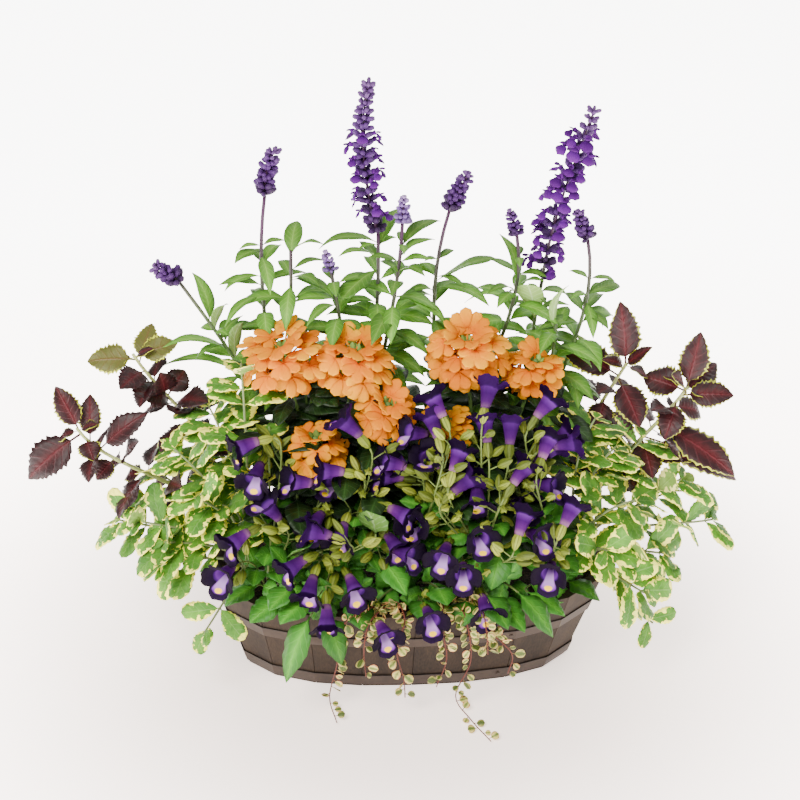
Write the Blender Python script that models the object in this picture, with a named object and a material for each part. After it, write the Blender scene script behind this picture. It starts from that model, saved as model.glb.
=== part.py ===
"""Mixed flower planter: an oval stave tub of soil, planted with salvia, crossandra,
torenia, variegated mint, coleus and wire vine.

Metres, +Z up. The origin is on the ground under the middle of the tub, +X runs along
the tub and -Y is the side with the torenia.
"""
import math
import random

import bmesh
import bpy
from mathutils import Matrix, Vector
from mathutils.bvhtree import BVHTree

# The tub
RIM_HALF_LENGTH = 0.200
RIM_HALF_DEPTH = 0.108
TUB_HEIGHT = 0.105
WALL_LEAN = 0.031
OVAL_SQUARENESS = 2.45
STAVES = 20
STAVE_THICKNESS = 0.010
BOARD_THICKNESS = 0.010
SEAT_GAP = 0.0003
HOOP_THICKNESS = 0.0012
UPPER_HOOP = (0.062, 0.074)
LOWER_HOOP = (0.004, 0.0175)
RIVET_RADIUS = 0.0028
RIVET_HEIGHT = 0.0012

# The soil and the crowns that stand in it
SOIL_BELOW_RIM = 0.012
SOIL_TOP = TUB_HEIGHT - SOIL_BELOW_RIM
CROWN_RADIUS = 0.0045
CROWN_DEPTH = 0.020
CROWN_HEIGHT = 0.010
CROWN_SIDES = 5
# Kinds of plant with so few shapes that their seams stay as they are
SEAMS_KEPT = ("crossandra",)

# Foliage and flowers
BLADE_THICKNESS = 0.0007
CLEARANCE = 0.0006
ROOT_ZONE = 0.0035
# How far the two leaves of a pair start from their stem's middle
LEAF_OFFSET = 0.0003
CALYX_LENGTH = 0.020
CALYX_RADIUS = 0.0044
TORENIA_TUBE = 0.017
TORENIA_FACE = 0.0135
CROSSANDRA_LIMB = 0.021

# Leaf edges from stalk to tip, as (share of the length, share of the half width)
LANCE = ((0.16, 0.35), (0.50, 1.0))
OVATE = ((0.12, 0.38), (0.36, 1.0), (0.48, 0.78), (0.72, 0.60))
SCALLOPED = ((0.12, 0.36), (0.38, 1.0), (0.54, 0.80), (0.80, 0.72))
TOOTHED = ((0.16, 0.16), (0.36, 1.0), (0.46, 0.78), (0.68, 0.66))
ROUND = ((0.30, 0.95), (0.78, 0.85))
RIB = (0.45,)
STALK_AND_RIB = (0.16, 0.50)

# What a leaf tries in turn to grow clear: sideways turn and lift in degrees, size
LEAF_TRIES = ((0, 0, 1.0), (14, 0, 1.0), (-14, 0, 1.0), (0, 14, 1.0), (0, -14, 1.0),
              (28, 8, 0.95), (-28, 8, 0.95), (20, -16, 0.9), (-20, -16, 0.9),
              (0, 30, 0.85), (45, 10, 0.8), (-45, 10, 0.8), (0, 0, 0.7))
# What a stem tries: how far its middle is pushed along X and Y, in metres
STEM_TRIES = ((0, 0), (0.008, 0), (-0.008, 0), (0, 0.008), (0, -0.008), (0.014, 0.008),
              (-0.014, 0.008), (0.014, -0.008), (-0.014, -0.008), (0.022, 0), (-0.022, 0))
# What a flower tries: shift along X and Z in metres, turn in degrees
FLOWER_TRIES = ((0, 0, 0), (0, 0, 25), (0, 0, -25), (0.006, 0, 0), (-0.006, 0, 0),
                (0, 0.006, 0), (0, -0.006, 0), (0.006, 0.006, 20), (-0.006, 0.006, -20),
                (0.010, 0, 35), (-0.010, 0, -35), (0, 0.010, 50), (0, 0.010, -50))

UP = Vector((0, 0, 1))


# Meshes and objects

def finish(name, colour, roughness, metallic=0.0):
    """A plain material of one colour"""
    material = bpy.data.materials.new(name)
    material.use_nodes = True
    shader = material.node_tree.nodes["Principled BSDF"]
    shader.inputs["Base Color"].default_value = (*colour, 1)
    shader.inputs["Roughness"].default_value = roughness
    shader.inputs["Metallic"].default_value = metallic
    return material


def add_object(name, verts, faces, look, collection=None):
    """An object of the given corners and faces, with a material of its own"""
    mesh = bpy.data.meshes.new(name)
    mesh.from_pydata([tuple(v) for v in verts], [], faces)
    mesh.update()
    piece = bpy.data.objects.new(name, mesh)
    (collection or bpy.context.scene.collection).objects.link(piece)
    if look:
        mesh.materials.append(finish(name, *look))
    return piece


def keep_main_body(mesh):
    """Drops loose scraps and the walls of sealed hollows, and leaves the largest body"""
    work = bmesh.new()
    work.from_mesh(mesh)
    unseen = set(work.verts)
    bodies = []
    while unseen:
        body = {unseen.pop()}
        edge_of_growth = list(body)
        while edge_of_growth:
            vert = edge_of_growth.pop()
            for edge in vert.link_edges:
                other = edge.other_vert(vert)
                if other in unseen:
                    unseen.discard(other)
                    body.add(other)
                    edge_of_growth.append(other)
        bodies.append(body)
    main = max(bodies, key=len)
    bmesh.ops.delete(work, geom=[v for v in work.verts if v not in main], context="VERTS")
    bmesh.ops.triangulate(work, faces=work.faces)
    work.to_mesh(mesh)
    work.free()


def triangle_count(faces):
    return sum(len(face) - 2 for face in faces)


def combine(piece, shapes, operation, solver="EXACT", merge_seams=False):
    """Joins all the shapes to the piece, or cuts them from it, in one Boolean. Merging
    the seams takes away as many triangles as the shapes' crossings have added, but
    leaves what stands within the piece itself, such as its crown, as it is."""
    operands = bpy.data.collections.new("operands")
    bpy.context.scene.collection.children.link(operands)
    for number, (verts, faces) in enumerate(shapes):
        add_object("operand_%d" % number, verts, faces, None, operands)
    boolean = piece.modifiers.new("combine", "BOOLEAN")
    boolean.operation = operation
    boolean.operand_type = "COLLECTION"
    boolean.collection = operands
    boolean.solver = solver
    low = [min(v.co[i] for v in piece.data.vertices) for i in range(3)]
    high = [max(v.co[i] for v in piece.data.vertices) for i in range(3)]
    own = triangle_count([p.vertices for p in piece.data.polygons])
    own += sum(triangle_count(faces) for _, faces in shapes)
    apply_modifiers(piece)
    for operand in list(operands.objects):
        bpy.data.objects.remove(operand)
    bpy.data.collections.remove(operands)
    keep_main_body(piece.data)
    if merge_seams and len(piece.data.polygons) > own:
        spared = piece.vertex_groups.new(name="spared")
        spared.add([v.index for v in piece.data.vertices
                    if all(low[i] - CLEARANCE < v.co[i] < high[i] + CLEARANCE
                           for i in range(3))], 1.0, "REPLACE")
        fewer = piece.modifiers.new("merge_seams", "DECIMATE")
        fewer.ratio = own / len(piece.data.polygons)
        fewer.vertex_group = spared.name
        fewer.invert_vertex_group = True
        apply_modifiers(piece)
        piece.vertex_groups.clear()


def apply_modifiers(piece):
    evaluated = piece.evaluated_get(bpy.context.evaluated_depsgraph_get())
    applied = bpy.data.meshes.new_from_object(evaluated)
    piece.modifiers.clear()
    plain = piece.data
    piece.data = applied
    bpy.data.meshes.remove(plain)
    applied.name = piece.name


def shade_round(piece, sharp_degrees=50):
    piece.data.shade_smooth()
    piece.data.set_sharp_from_angle(angle=math.radians(sharp_degrees))


def ring_stack(rings):
    """Corners and faces of a closed skin through rings of points, capped at both ends.
    Neighbouring rings have equal counts, or one has twice the other's."""
    verts = [v for ring in rings for v in ring]
    starts = [0]
    for ring in rings:
        starts.append(starts[-1] + len(ring))
    faces = [tuple(reversed(range(len(rings[0])))), tuple(range(starts[-2], starts[-1]))]
    for number in range(len(rings) - 1):
        low, high = starts[number], starts[number + 1]
        n_low, n_high = len(rings[number]), len(rings[number + 1])
        for i in range(max(n_low, n_high)):
            i_low = i * n_low // max(n_low, n_high)
            i_high = i * n_high // max(n_low, n_high)
            j_low = (i + 1) * n_low // max(n_low, n_high) % n_low
            j_high = (i + 1) * n_high // max(n_low, n_high) % n_high
            if i_low != j_low:
                faces.append((low + i_low, low + j_low, high + j_high))
            if i_high != j_high:
                faces.append((low + i_low, high + j_high, high + i_high))
    return verts, faces


def bezier(a, b, c, d, steps):
    """Points along a cubic curve from a to d"""
    points = []
    for i in range(steps + 1):
        t = i / steps
        s = 1 - t
        points.append(a * s ** 3 + b * 3 * s * s * t + c * 3 * s * t * t + d * t ** 3)
    return points


def side_axes(direction, hint=UP):
    """Two unit vectors square to a direction and to each other, the second nearest the hint"""
    side = direction.cross(hint)
    if side.length < 1e-4:
        side = direction.cross(Vector((0, 1, 0)))
    side.normalize()
    return side, side.cross(direction).normalized()


def circle(middle, direction, radius, count, first=0.0, hint=UP):
    """Points round a direction, anticlockwise when it points at the viewer"""
    side, other = side_axes(direction, hint)
    return [middle + (side * math.cos(t) - other * math.sin(t)) * radius
            for t in (first + 2 * math.pi * k / count for k in range(count))]


def loft(sections):
    """A closed skin through circles given as (middle, direction, radius, count), which
    turn from one to the next as little as they can"""
    rings = []
    side = side_axes(sections[0][1])[0]
    for middle, direction, radius, count in sections:
        side = (side - direction * side.dot(direction)).normalized()
        other = direction.cross(side)
        rings.append([middle + (side * math.cos(t) + other * math.sin(t)) * radius
                      for t in (2 * math.pi * k / count for k in range(count))])
    return rings


def path_sections(points, start_radius, end_radius, sides):
    """The sections of a tapering stem along the points"""
    sections = []
    for i, point in enumerate(points):
        ahead = points[min(i + 1, len(points) - 1)]
        behind = points[max(i - 1, 0)]
        radius = start_radius + (end_radius - start_radius) * i / (len(points) - 1)
        sections.append((point, (ahead - behind).normalized(), radius, sides))
    return sections


def tube(points, start_radius, end_radius, sides):
    return ring_stack(loft(path_sections(points, start_radius, end_radius, sides)))


def along(points, share):
    """The point and the direction at a share of a path's length"""
    spans = [(b - a).length for a, b in zip(points, points[1:])]
    left = share * sum(spans)
    for a, b, span in zip(points, points[1:], spans):
        if left <= span or b is points[-1]:
            return a.lerp(b, min(left / span, 1)), (b - a).normalized()
        left -= span


def share_at_height(points, height):
    """The share of a path's length at which it first reaches a height"""
    spans = [(b - a).length for a, b in zip(points, points[1:])]
    gone = 0
    for a, b, span in zip(points, points[1:], spans):
        if a.z <= height <= b.z:
            return (gone + span * (height - a.z) / (b.z - a.z)) / sum(spans)
        gone += span
    return 0.97


def blade(root, direction, face, length, half_width, edge, rib, droop, fold=0.25):
    """A thin closed leaf: a midrib that bends down through the droop, in degrees, and an
    edge on each side lifted by the fold. Both faces are split into triangles alike."""
    right = direction.cross(face).normalized()
    bend = math.radians(droop) or 1e-3

    def on_rib(t):
        angle = bend * t
        point = root + direction * (length * math.sin(angle) / bend)
        point -= face * (length * (1 - math.cos(angle)) / bend)
        return point, face * math.cos(angle) + direction * math.sin(angle)

    rows = [on_rib(t) for t in (0.0, *rib, 1.0)]
    for side in (1, -1):
        for t, width in edge:
            point, normal = on_rib(t)
            out = right * (side * half_width * width)
            rows.append((point + out + normal * (fold * half_width * width), normal))
    half = BLADE_THICKNESS / 2
    verts = [p + n * half for p, n in rows] + [p - n * half for p, n in rows]
    count, last, n_edge = len(rows), len(rib) + 1, len(edge)
    ribs = list(range(last + 1))
    shares = {0: 0.0, last: 1.0}
    shares.update({i + 1: t for i, t in enumerate(rib)})
    top = []
    edges = []
    for side in (0, 1):
        line = [0] + [last + 1 + side * n_edge + i for i in range(n_edge)] + [last]
        edges.append(line)
        shares.update({line[i + 1]: t for i, (t, _) in enumerate(edge)})
        i = j = 0
        while i < len(ribs) - 1 or j < len(line) - 1:
            step_edge = i == len(ribs) - 1 or (j < len(line) - 1
                                              and shares[line[j + 1]] <= shares[ribs[i + 1]])
            if step_edge:
                corners = (ribs[i], line[j], line[j + 1])
                j += 1
            else:
                corners = (ribs[i], line[j], ribs[i + 1])
                i += 1
            if len(set(corners)) == 3:
                top.append(corners if side == 0 else tuple(reversed(corners)))
    rim = edges[0] + list(reversed(edges[1]))[1:-1]
    faces = top + [tuple(i + count for i in reversed(f)) for f in top]
    for a, b in zip(rim, rim[1:] + rim[:1]):
        faces.append((a, a + count, b + count))
        faces.append((a, b + count, b))
    return verts, faces


def spindle(foot, direction, length, radius, sides=4):
    """A bud or calyx, pointed at both ends"""
    verts = [foot, foot + direction * length]
    verts += circle(foot + direction * (length * 0.5), direction, radius, sides)
    faces = []
    for k in range(sides):
        a, b = 2 + k, 2 + (k + 1) % sides
        faces += [(0, b, a), (1, a, b)]
    return verts, faces


# What is already growing, so that the rest grows clear of it

class Bed:
    """The shapes placed so far, each with its node, its kind, its box and its tree"""

    def __init__(self):
        self.grown = []

    def add(self, node, kind, shape):
        verts, faces = shape
        self.grown.append((node, kind, *box_of(verts), BVHTree.FromPolygons(verts, faces),
                           shape))

    def is_clear(self, node, shape, crosses_own, resting_on):
        verts, faces = swollen(*shape)
        low, high = box_of(verts)
        if low[2] < -CLEARANCE / 2:
            return False
        tree = None
        for other_node, kind, other_low, other_high, other_tree, _ in self.grown:
            if other_node == resting_on and kind == "stem":
                continue
            if other_node == node and (crosses_own or kind == "stem"):
                continue
            if any(low[k] > other_high[k] or high[k] < other_low[k] for k in range(3)):
                continue
            tree = tree or BVHTree.FromPolygons(verts, faces)
            hits = tree.overlap(other_tree)
            if other_node == node:
                # Leaves of one plant may touch where they leave the stem
                hits = [hit for hit in hits
                        if all((verts[i] - verts[0]).length > ROOT_ZONE
                               for i in faces[hit[0]])]
            if hits:
                return False
        return True

    def grow(self, node, kind, make, tries, crossing=(False,), resting_on=None):
        """Places what the first try that is clear makes, and says which try that was.
        The crossing says in turn whether shapes of the own node may be crossed."""
        for crosses_own in crossing:
            for one_try in tries:
                shapes = make(*one_try)
                if all(self.is_clear(node, s, crosses_own, resting_on) for s in shapes):
                    for shape in shapes:
                        self.add(node, kind, shape)
                    return one_try
        return None

    def shapes(self, node):
        return [entry[-1] for entry in self.grown if entry[0] == node]


def box_of(verts):
    return ([min(v[k] for v in verts) for k in range(3)],
            [max(v[k] for v in verts) for k in range(3)])


def swollen(verts, faces):
    """The same shape pushed out by the clearance"""
    pushes = [Vector() for _ in verts]
    for face in faces:
        a, b, c = (verts[i] for i in face[:3])
        normal = (b - a).cross(c - a)
        for i in face:
            pushes[i] += normal
    return [v + p.normalized() * CLEARANCE for v, p in zip(verts, pushes)], faces


def turned(direction, face, turn, lift):
    """A leaf's direction and face, turned sideways and lifted, in degrees"""
    spin = Matrix.Rotation(math.radians(turn), 3, face)
    direction = spin @ direction
    tip_up = Matrix.Rotation(math.radians(lift), 3, direction.cross(face).normalized())
    return (tip_up @ direction).normalized(), (tip_up @ face).normalized()


def grow_crown(bed, node, place):
    """The short woody foot of a plant, standing in its hole in the soil"""
    x, y = place
    heights = (SOIL_TOP - CROWN_DEPTH + SEAT_GAP, SOIL_TOP + CROWN_HEIGHT * 0.6,
               SOIL_TOP + CROWN_HEIGHT)
    radii = (CROWN_RADIUS - SEAT_GAP, CROWN_RADIUS - SEAT_GAP, CROWN_RADIUS * 0.5)
    rings = [[Vector((x + r * math.cos(a), y + r * math.sin(a), z))
              for a in (2 * math.pi * k / CROWN_SIDES for k in range(CROWN_SIDES))]
             for z, r in zip(heights, radii)]
    bed.add(node, "stem", ring_stack(rings))


def crown_point(place, end):
    """Where the stem to an end leaves the crown, on the side nearest that end"""
    out = Vector((end[0] - place[0], end[1] - place[1], 0)).normalized()
    return Vector((*place, SOIL_TOP + CROWN_HEIGHT * 0.5)) + out * CROWN_RADIUS * 0.55


def grow_stem(bed, node, start, end, arrival, radius, steps=3, rise=0.45, sides=3):
    """A stem that leaves its start upwards and reaches its end along the arrival"""
    span = (end - start).length

    def path(push_x, push_y):
        push = Vector((push_x, push_y, 0))
        return bezier(start, start + UP * span * rise + push,
                      end - arrival * span * 0.30 + push, end, steps)

    found = bed.grow(node, "stem", lambda x, y: [tube(path(x, y), *radius, sides)],
                     STEM_TRIES, crossing=(True,))
    return path(*(found or STEM_TRIES[0])) if found else None


def grow_leaf(bed, node, root, direction, face, length, half_width, edge, rib, droop,
              crossing=(False,)):
    """A leaf from a point inside its stem, turned or shrunk until it is clear"""
    def make(turn, lift, size):
        d, f = turned(direction, face, turn, lift)
        return [blade(root, d, f, length * size, half_width * size, edge, rib, droop)]
    return bed.grow(node, "leaf", make, LEAF_TRIES, crossing)


def grow_leaf_to(bed, node, path, height, tip, half_width, edge, rib, droop=40, face=UP):
    """A leaf from its stem at a height to a tip"""
    root, _ = along(path, share_at_height(path, height))
    reach = tip - root
    chord = reach.normalized()
    side = chord.cross(face).normalized()
    # The chord leaves the root at half of the whole droop
    direction = Matrix.Rotation(math.radians(droop / 2), 3, side) @ chord
    normal = side.cross(direction).normalized()
    grow_leaf(bed, node, root, direction, normal, reach.length * 1.04, half_width, edge,
              rib, droop, crossing=(False, True))


def grow_pairs(bed, node, path, shares, first_turn, lean, length, half_width, edge, rib,
               droop, draw):
    """Opposite pairs of leaves up a stem, each pair a quarter turn from the last"""
    for step, share in enumerate(shares):
        point, axis = along(path, share)
        side, other = side_axes(axis, Vector((0, -1, 0.3)))
        for half_turn in (0, 180):
            turn = math.radians(first_turn + 90 * step + half_turn + draw.uniform(-12, 12))
            out = side * math.cos(turn) + other * math.sin(turn)
            tilt = math.radians(lean + draw.uniform(-8, 8))
            direction = out * math.cos(tilt) + axis * math.sin(tilt)
            face = axis * math.cos(tilt) - out * math.sin(tilt)
            size = draw.uniform(0.85, 1.1)
            grow_leaf(bed, node, point + out * LEAF_OFFSET, direction, face, length * size,
                      half_width * size, edge, rib, droop)


# The tub

def oval_corners():
    """The corners of the stave ring, evenly spaced round the squarish oval of the rim"""
    fine = []
    steps = 2000
    for i in range(steps):
        turn = 2 * math.pi * i / steps - math.pi / 2
        c, s = math.cos(turn), math.sin(turn)
        x = RIM_HALF_LENGTH * math.copysign(abs(c) ** (2 / OVAL_SQUARENESS), c)
        y = RIM_HALF_DEPTH * math.copysign(abs(s) ** (2 / OVAL_SQUARENESS), s)
        fine.append(Vector((x, y)))
    gone = [0.0]
    for a, b in zip(fine, fine[1:] + fine[:1]):
        gone.append(gone[-1] + (b - a).length)
    corners = []
    for k in range(STAVES):
        target = gone[-1] * k / STAVES
        corners.append(fine[max(i for i in range(steps) if gone[i] <= target + 1e-9)])
    return corners


RIM = oval_corners()


def inset(corners, depth):
    """The ring of corners moved inwards so that each side moves by the depth"""
    moved = []
    for k, corner in enumerate(corners):
        before = (corner - corners[k - 1]).normalized()
        after = (corners[(k + 1) % len(corners)] - corner).normalized()
        into_before = Vector((-before.y, before.x))
        into_after = Vector((-after.y, after.x))
        mitre = (into_before + into_after).normalized()
        moved.append(corner + mitre * (depth / mitre.dot(into_after)))
    return moved


def wall(depth, height):
    """The ring of corners at a height, a depth inside the outer face of the staves"""
    lean = WALL_LEAN * (1 - height / TUB_HEIGHT)
    return [Vector((*corner, height)) for corner in inset(RIM, lean + depth)]


def stave_shape(number):
    """One flat tapering board, mitred to its neighbours with a fine joint between"""
    corners = []
    for height in (0.0, TUB_HEIGHT):
        outer, inner = wall(0.0, height), wall(STAVE_THICKNESS, height)
        a, b = outer[number], outer[(number + 1) % STAVES]
        d, c = inner[number], inner[(number + 1) % STAVES]
        joint = (b - a).normalized() * (SEAT_GAP / 2)
        corners.append([a + joint, b - joint, c - joint, d + joint])
    return ring_stack(corners)


def hoop_shape(low, high):
    """A flat strap round the staves, following their lean"""
    outer, inner = -SEAT_GAP - HOOP_THICKNESS, -SEAT_GAP
    verts = wall(outer, low) + wall(outer, high) + wall(inner, high) + wall(inner, low)
    faces = []
    for ring in range(4):
        for k in range(STAVES):
            following = (ring + 1) % 4 * STAVES
            faces.append((ring * STAVES + k, ring * STAVES + (k + 1) % STAVES,
                          following + (k + 1) % STAVES, following + k))
    return verts, faces


def rivet_shapes(low, high, rivets):
    """Low round rivet heads on the strap, each on a side and at a share of its length"""
    outer = -SEAT_GAP - HOOP_THICKNESS
    outer_low, outer_high = wall(outer, low), wall(outer, high)
    heads = []
    for side, share in rivets:
        a, b = outer_low[side], outer_low[(side + 1) % STAVES]
        c, d = outer_high[side], outer_high[(side + 1) % STAVES]
        middle = (a.lerp(b, share) + c.lerp(d, share)) / 2
        outward = (b - a).cross(c - a).normalized()
        heads.append(ring_stack([
            circle(middle + outward * depth, outward, radius, 6)
            for depth, radius in ((-HOOP_THICKNESS / 2, RIVET_RADIUS),
                                  (RIVET_HEIGHT, RIVET_RADIUS * 0.7))]))
    return heads


def filling(low, high):
    """What fills the tub between two heights, a fine joint inside the staves"""
    clear = STAVE_THICKNESS + SEAT_GAP
    return ring_stack([wall(clear, low), wall(clear, high)])


def crown_holes():
    """The plain holes in the soil that the crowns stand in"""
    crowns = [plant[1] for plants in (SALVIA_PLANTS, CROSSANDRA_PLANTS, MINT_PLANTS,
                                      COLEUS_PLANTS, VINE_PLANTS) for plant in plants]
    crowns += [(x, TORENIA_CROWN_Y) for x in TORENIA_CROWNS]
    holes = []
    for x, y in crowns:
        holes.append(ring_stack([
            [Vector((x + CROWN_RADIUS * math.cos(a), y + CROWN_RADIUS * math.sin(a), z))
             for a in (2 * math.pi * k / CROWN_SIDES for k in range(CROWN_SIDES))]
            for z in (SOIL_TOP - CROWN_DEPTH, SOIL_TOP + CROWN_HEIGHT)]))
    return holes


# Salvia: leafy stems at the back, and violet flower spikes standing on some of them

SALVIA_LEAF = 0.0085
SPIKE_STALK = 0.0014
# Each plant: name, crown, then its stems as (end, leaves as (height on stem, tip))
SALVIA_PLANTS = (
    ("salvia_left", (-0.120, 0.056), (
        ((-0.215, 0.040, 0.386),
         ((0.345, (-0.205, 0.055, 0.392)), (0.335, (-0.170, 0.025, 0.372)),
          (0.325, (-0.164, 0.060, 0.338)), (0.310, (-0.235, 0.020, 0.330)),
          (0.300, (-0.157, 0.030, 0.352)), (0.285, (-0.240, 0.060, 0.290)))),
        ((-0.135, 0.055, 0.466),
         ((0.410, (-0.165, 0.040, 0.405)), (0.405, (-0.131, 0.010, 0.385)),
          (0.395, (-0.120, 0.095, 0.400)), (0.385, (-0.176, 0.050, 0.372)),
          (0.365, (-0.176, 0.020, 0.348)), (0.350, (-0.150, 0.110, 0.345)))),
        ((-0.112, 0.045, 0.415),
         ((0.412, (-0.080, 0.030, 0.428)), (0.408, (-0.105, 0.085, 0.430)),
          (0.395, (-0.070, 0.060, 0.395)), (0.385, (-0.072, 0.015, 0.380)),
          (0.380, (-0.118, 0.005, 0.350)), (0.365, (-0.056, 0.050, 0.362)))))),
    ("salvia_mid_left", (-0.045, 0.055), (
        ((-0.031, 0.045, 0.431),
         ((0.422, (-0.088, 0.055, 0.412)), (0.415, (-0.005, 0.090, 0.440)),
          (0.405, (-0.070, 0.020, 0.420)), (0.395, (-0.065, 0.010, 0.382)),
          (0.385, (-0.040, 0.105, 0.380)), (0.360, (-0.075, 0.060, 0.345)))),
        ((-0.010, 0.025, 0.449),
         ((0.425, (0.030, 0.060, 0.438)), (0.415, (0.022, 0.030, 0.432)),
          (0.400, (0.010, -0.005, 0.410)), (0.375, (0.034, 0.005, 0.352)),
          (0.365, (-0.022, -0.015, 0.345)))),
        ((-0.075, 0.030, 0.400),
         ((0.365, (-0.100, -0.005, 0.360)), (0.350, (-0.045, 0.010, 0.340)))))),
    ("salvia_mid_right", (0.040, 0.055), (
        ((0.036, 0.060, 0.446),
         ((0.380, (0.012, 0.085, 0.384)), (0.375, (0.078, 0.045, 0.405)),
          (0.368, (0.076, 0.030, 0.362)), (0.365, (-0.004, 0.050, 0.368)),
          (0.350, (0.045, 0.110, 0.350)), (0.335, (0.030, 0.005, 0.320)))),
        ((0.099, 0.045, 0.427),
         ((0.375, (0.084, 0.062, 0.425)), (0.370, (0.070, 0.025, 0.378)),
          (0.362, (0.052, 0.060, 0.352)), (0.372, (0.126, 0.030, 0.388)),
          (0.345, (0.105, 0.095, 0.340)))))),
    ("salvia_right", (0.118, 0.056), (
        ((0.127, 0.055, 0.377),
         ((0.335, (0.108, 0.025, 0.386)), (0.365, (0.155, 0.060, 0.358)),
          (0.350, (0.100, 0.090, 0.350)), (0.310, (0.165, 0.085, 0.310)))),
        ((0.165, 0.040, 0.425),
         ((0.368, (0.200, 0.050, 0.374)), (0.352, (0.186, 0.035, 0.336)),
          (0.360, (0.172, 0.010, 0.335)), (0.345, (0.195, 0.090, 0.345)),
          (0.325, (0.170, 0.050, 0.300)))),
        ((0.138, 0.025, 0.345),
         ((0.335, (0.146, 0.015, 0.392)), (0.322, (0.172, 0.000, 0.310)),
          (0.318, (0.108, 0.010, 0.300)))))),
)
# Each spike: name, plant, foot, tip, whorls of florets, widest radius
SPIKES = (
    ("spike_tall_left", "salvia_mid_left", (-0.031, 0.045, 0.431),
     (-0.041, 0.045, 0.575), 11, 0.018),
    ("spike_tall_right", "salvia_right", (0.127, 0.055, 0.377),
     (0.165, 0.055, 0.546), 12, 0.019),
    ("spike_left", "salvia_left", (-0.135, 0.055, 0.466), (-0.125, 0.055, 0.510), 5, 0.010),
    ("spike_nodding", "salvia_left", (-0.215, 0.040, 0.386), (-0.237, 0.040, 0.404), 4, 0.010),
    ("spike_right", "salvia_mid_right", (0.036, 0.060, 0.446), (0.053, 0.060, 0.484), 5, 0.009),
    ("spike_pale_front", "salvia_mid_left", (-0.010, 0.025, 0.449),
     (-0.009, 0.025, 0.474), 4, 0.007),
    ("spike_pale_left", "salvia_mid_left", (-0.075, 0.030, 0.400),
     (-0.080, 0.030, 0.419), 3, 0.006),
    ("spike_small", "salvia_mid_right", (0.099, 0.045, 0.427), (0.091, 0.045, 0.452), 4, 0.007),
    ("spike_small_right", "salvia_right", (0.165, 0.040, 0.425),
     (0.154, 0.040, 0.453), 4, 0.008),
)


def spike_arrival(foot):
    """The direction in which a stem reaches a spike's foot, or straight up with no spike"""
    for _, _, spike_foot, tip, _, _ in SPIKES:
        if spike_foot == foot:
            lean = (Vector(tip) - Vector(foot)).normalized()
            return (lean + UP * 0.6).normalized()
    return UP


def floret_spike(foot, tip, whorls, widest):
    """An upright spike whose whorls of florets stand out from the stalk like stars"""
    start = spike_arrival(foot)
    foot, tip = Vector(foot), Vector(tip)
    axis = (tip - foot).normalized()
    span = (tip - foot).length
    path = bezier(foot + start * SEAT_GAP, foot + start * span * 0.35, tip - axis * span * 0.3,
                  tip, 2 * whorls)
    draw = random.Random(whorls + round(span * 1e4))
    stalk = SPIKE_STALK
    rings = []
    for i, point in enumerate(path):
        ahead = path[min(i + 1, len(path) - 1)]
        behind = path[max(i - 1, 0)]
        direction = (ahead - behind).normalized() if i else start
        side, other = side_axes(direction, Vector((0, 1, 0)))
        first = math.pi / 4 * (i // 2 % 2)
        if i % 2 == 0:
            rings.append(circle(point, direction, stalk, 4, first, Vector((0, 1, 0))))
        else:
            reach = widest * (1 - 0.72 * (i / len(path)) ** 0.8)
            ring = []
            for k in range(8):
                t = first + math.pi / 4 * k
                radius = reach * draw.uniform(0.72, 1.1) if k % 2 == 0 else stalk * 1.6
                ring.append(point + (side * math.cos(t) - other * math.sin(t)) * radius
                            + direction * (reach * draw.uniform(-0.1, 0.3)
                                           if k % 2 == 0 else 0))
            rings.append(ring)
    return ring_stack(rings)


def grow_salvia_stems(bed):
    """All salvia stems with the spikes on them, and each stem's path for its leaves"""
    paths = {}
    for plant, crown, stems in SALVIA_PLANTS:
        grow_crown(bed, plant, crown)
        for end, _ in stems:
            paths[end] = grow_stem(bed, plant, crown_point(crown, end), Vector(end),
                                   spike_arrival(end), (0.0018, 0.0013), steps=4)
    for name, plant, foot, tip, whorls, widest in SPIKES:
        bed.grow(name, "flower",
                 lambda: [floret_spike(foot, tip, whorls, widest)], ((),),
                 resting_on=plant)
    return paths


def grow_salvia_leaves(bed, paths):
    for plant, _, stems in SALVIA_PLANTS:
        draw = random.Random(plant)
        for end, leaves in stems:
            path = paths[end]
            for height, tip in leaves:
                grow_leaf_to(bed, plant, path, height, Vector(tip),
                             SALVIA_LEAF * draw.uniform(0.85, 1.25), LANCE, RIB, droop=45)


# Crossandra: orange heads above dark leaves, between the salvia and the torenia

# Each plant: name, crown, then its heads as (name, middle of the head, radius)
CROSSANDRA_PLANTS = (
    ("crossandra_left", (-0.075, 0.005), (
        ("crossandra_head_1", (-0.121, 0.002, 0.333), 0.044),
        ("crossandra_head_2", (-0.055, 0.000, 0.330), 0.042),
        ("crossandra_head_3", (-0.025, -0.028, 0.288), 0.034),
        ("crossandra_head_4", (-0.092, -0.035, 0.257), 0.032))),
    ("crossandra_right", (0.075, 0.005), (
        ("crossandra_head_5", (0.051, 0.000, 0.337), 0.042),
        ("crossandra_head_6", (0.116, 0.000, 0.316), 0.034),
        ("crossandra_head_7", (0.030, -0.026, 0.266), 0.030))),
)
HEAD_BELOW = 0.020
BRACT_SPIKE = 0.040


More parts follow.
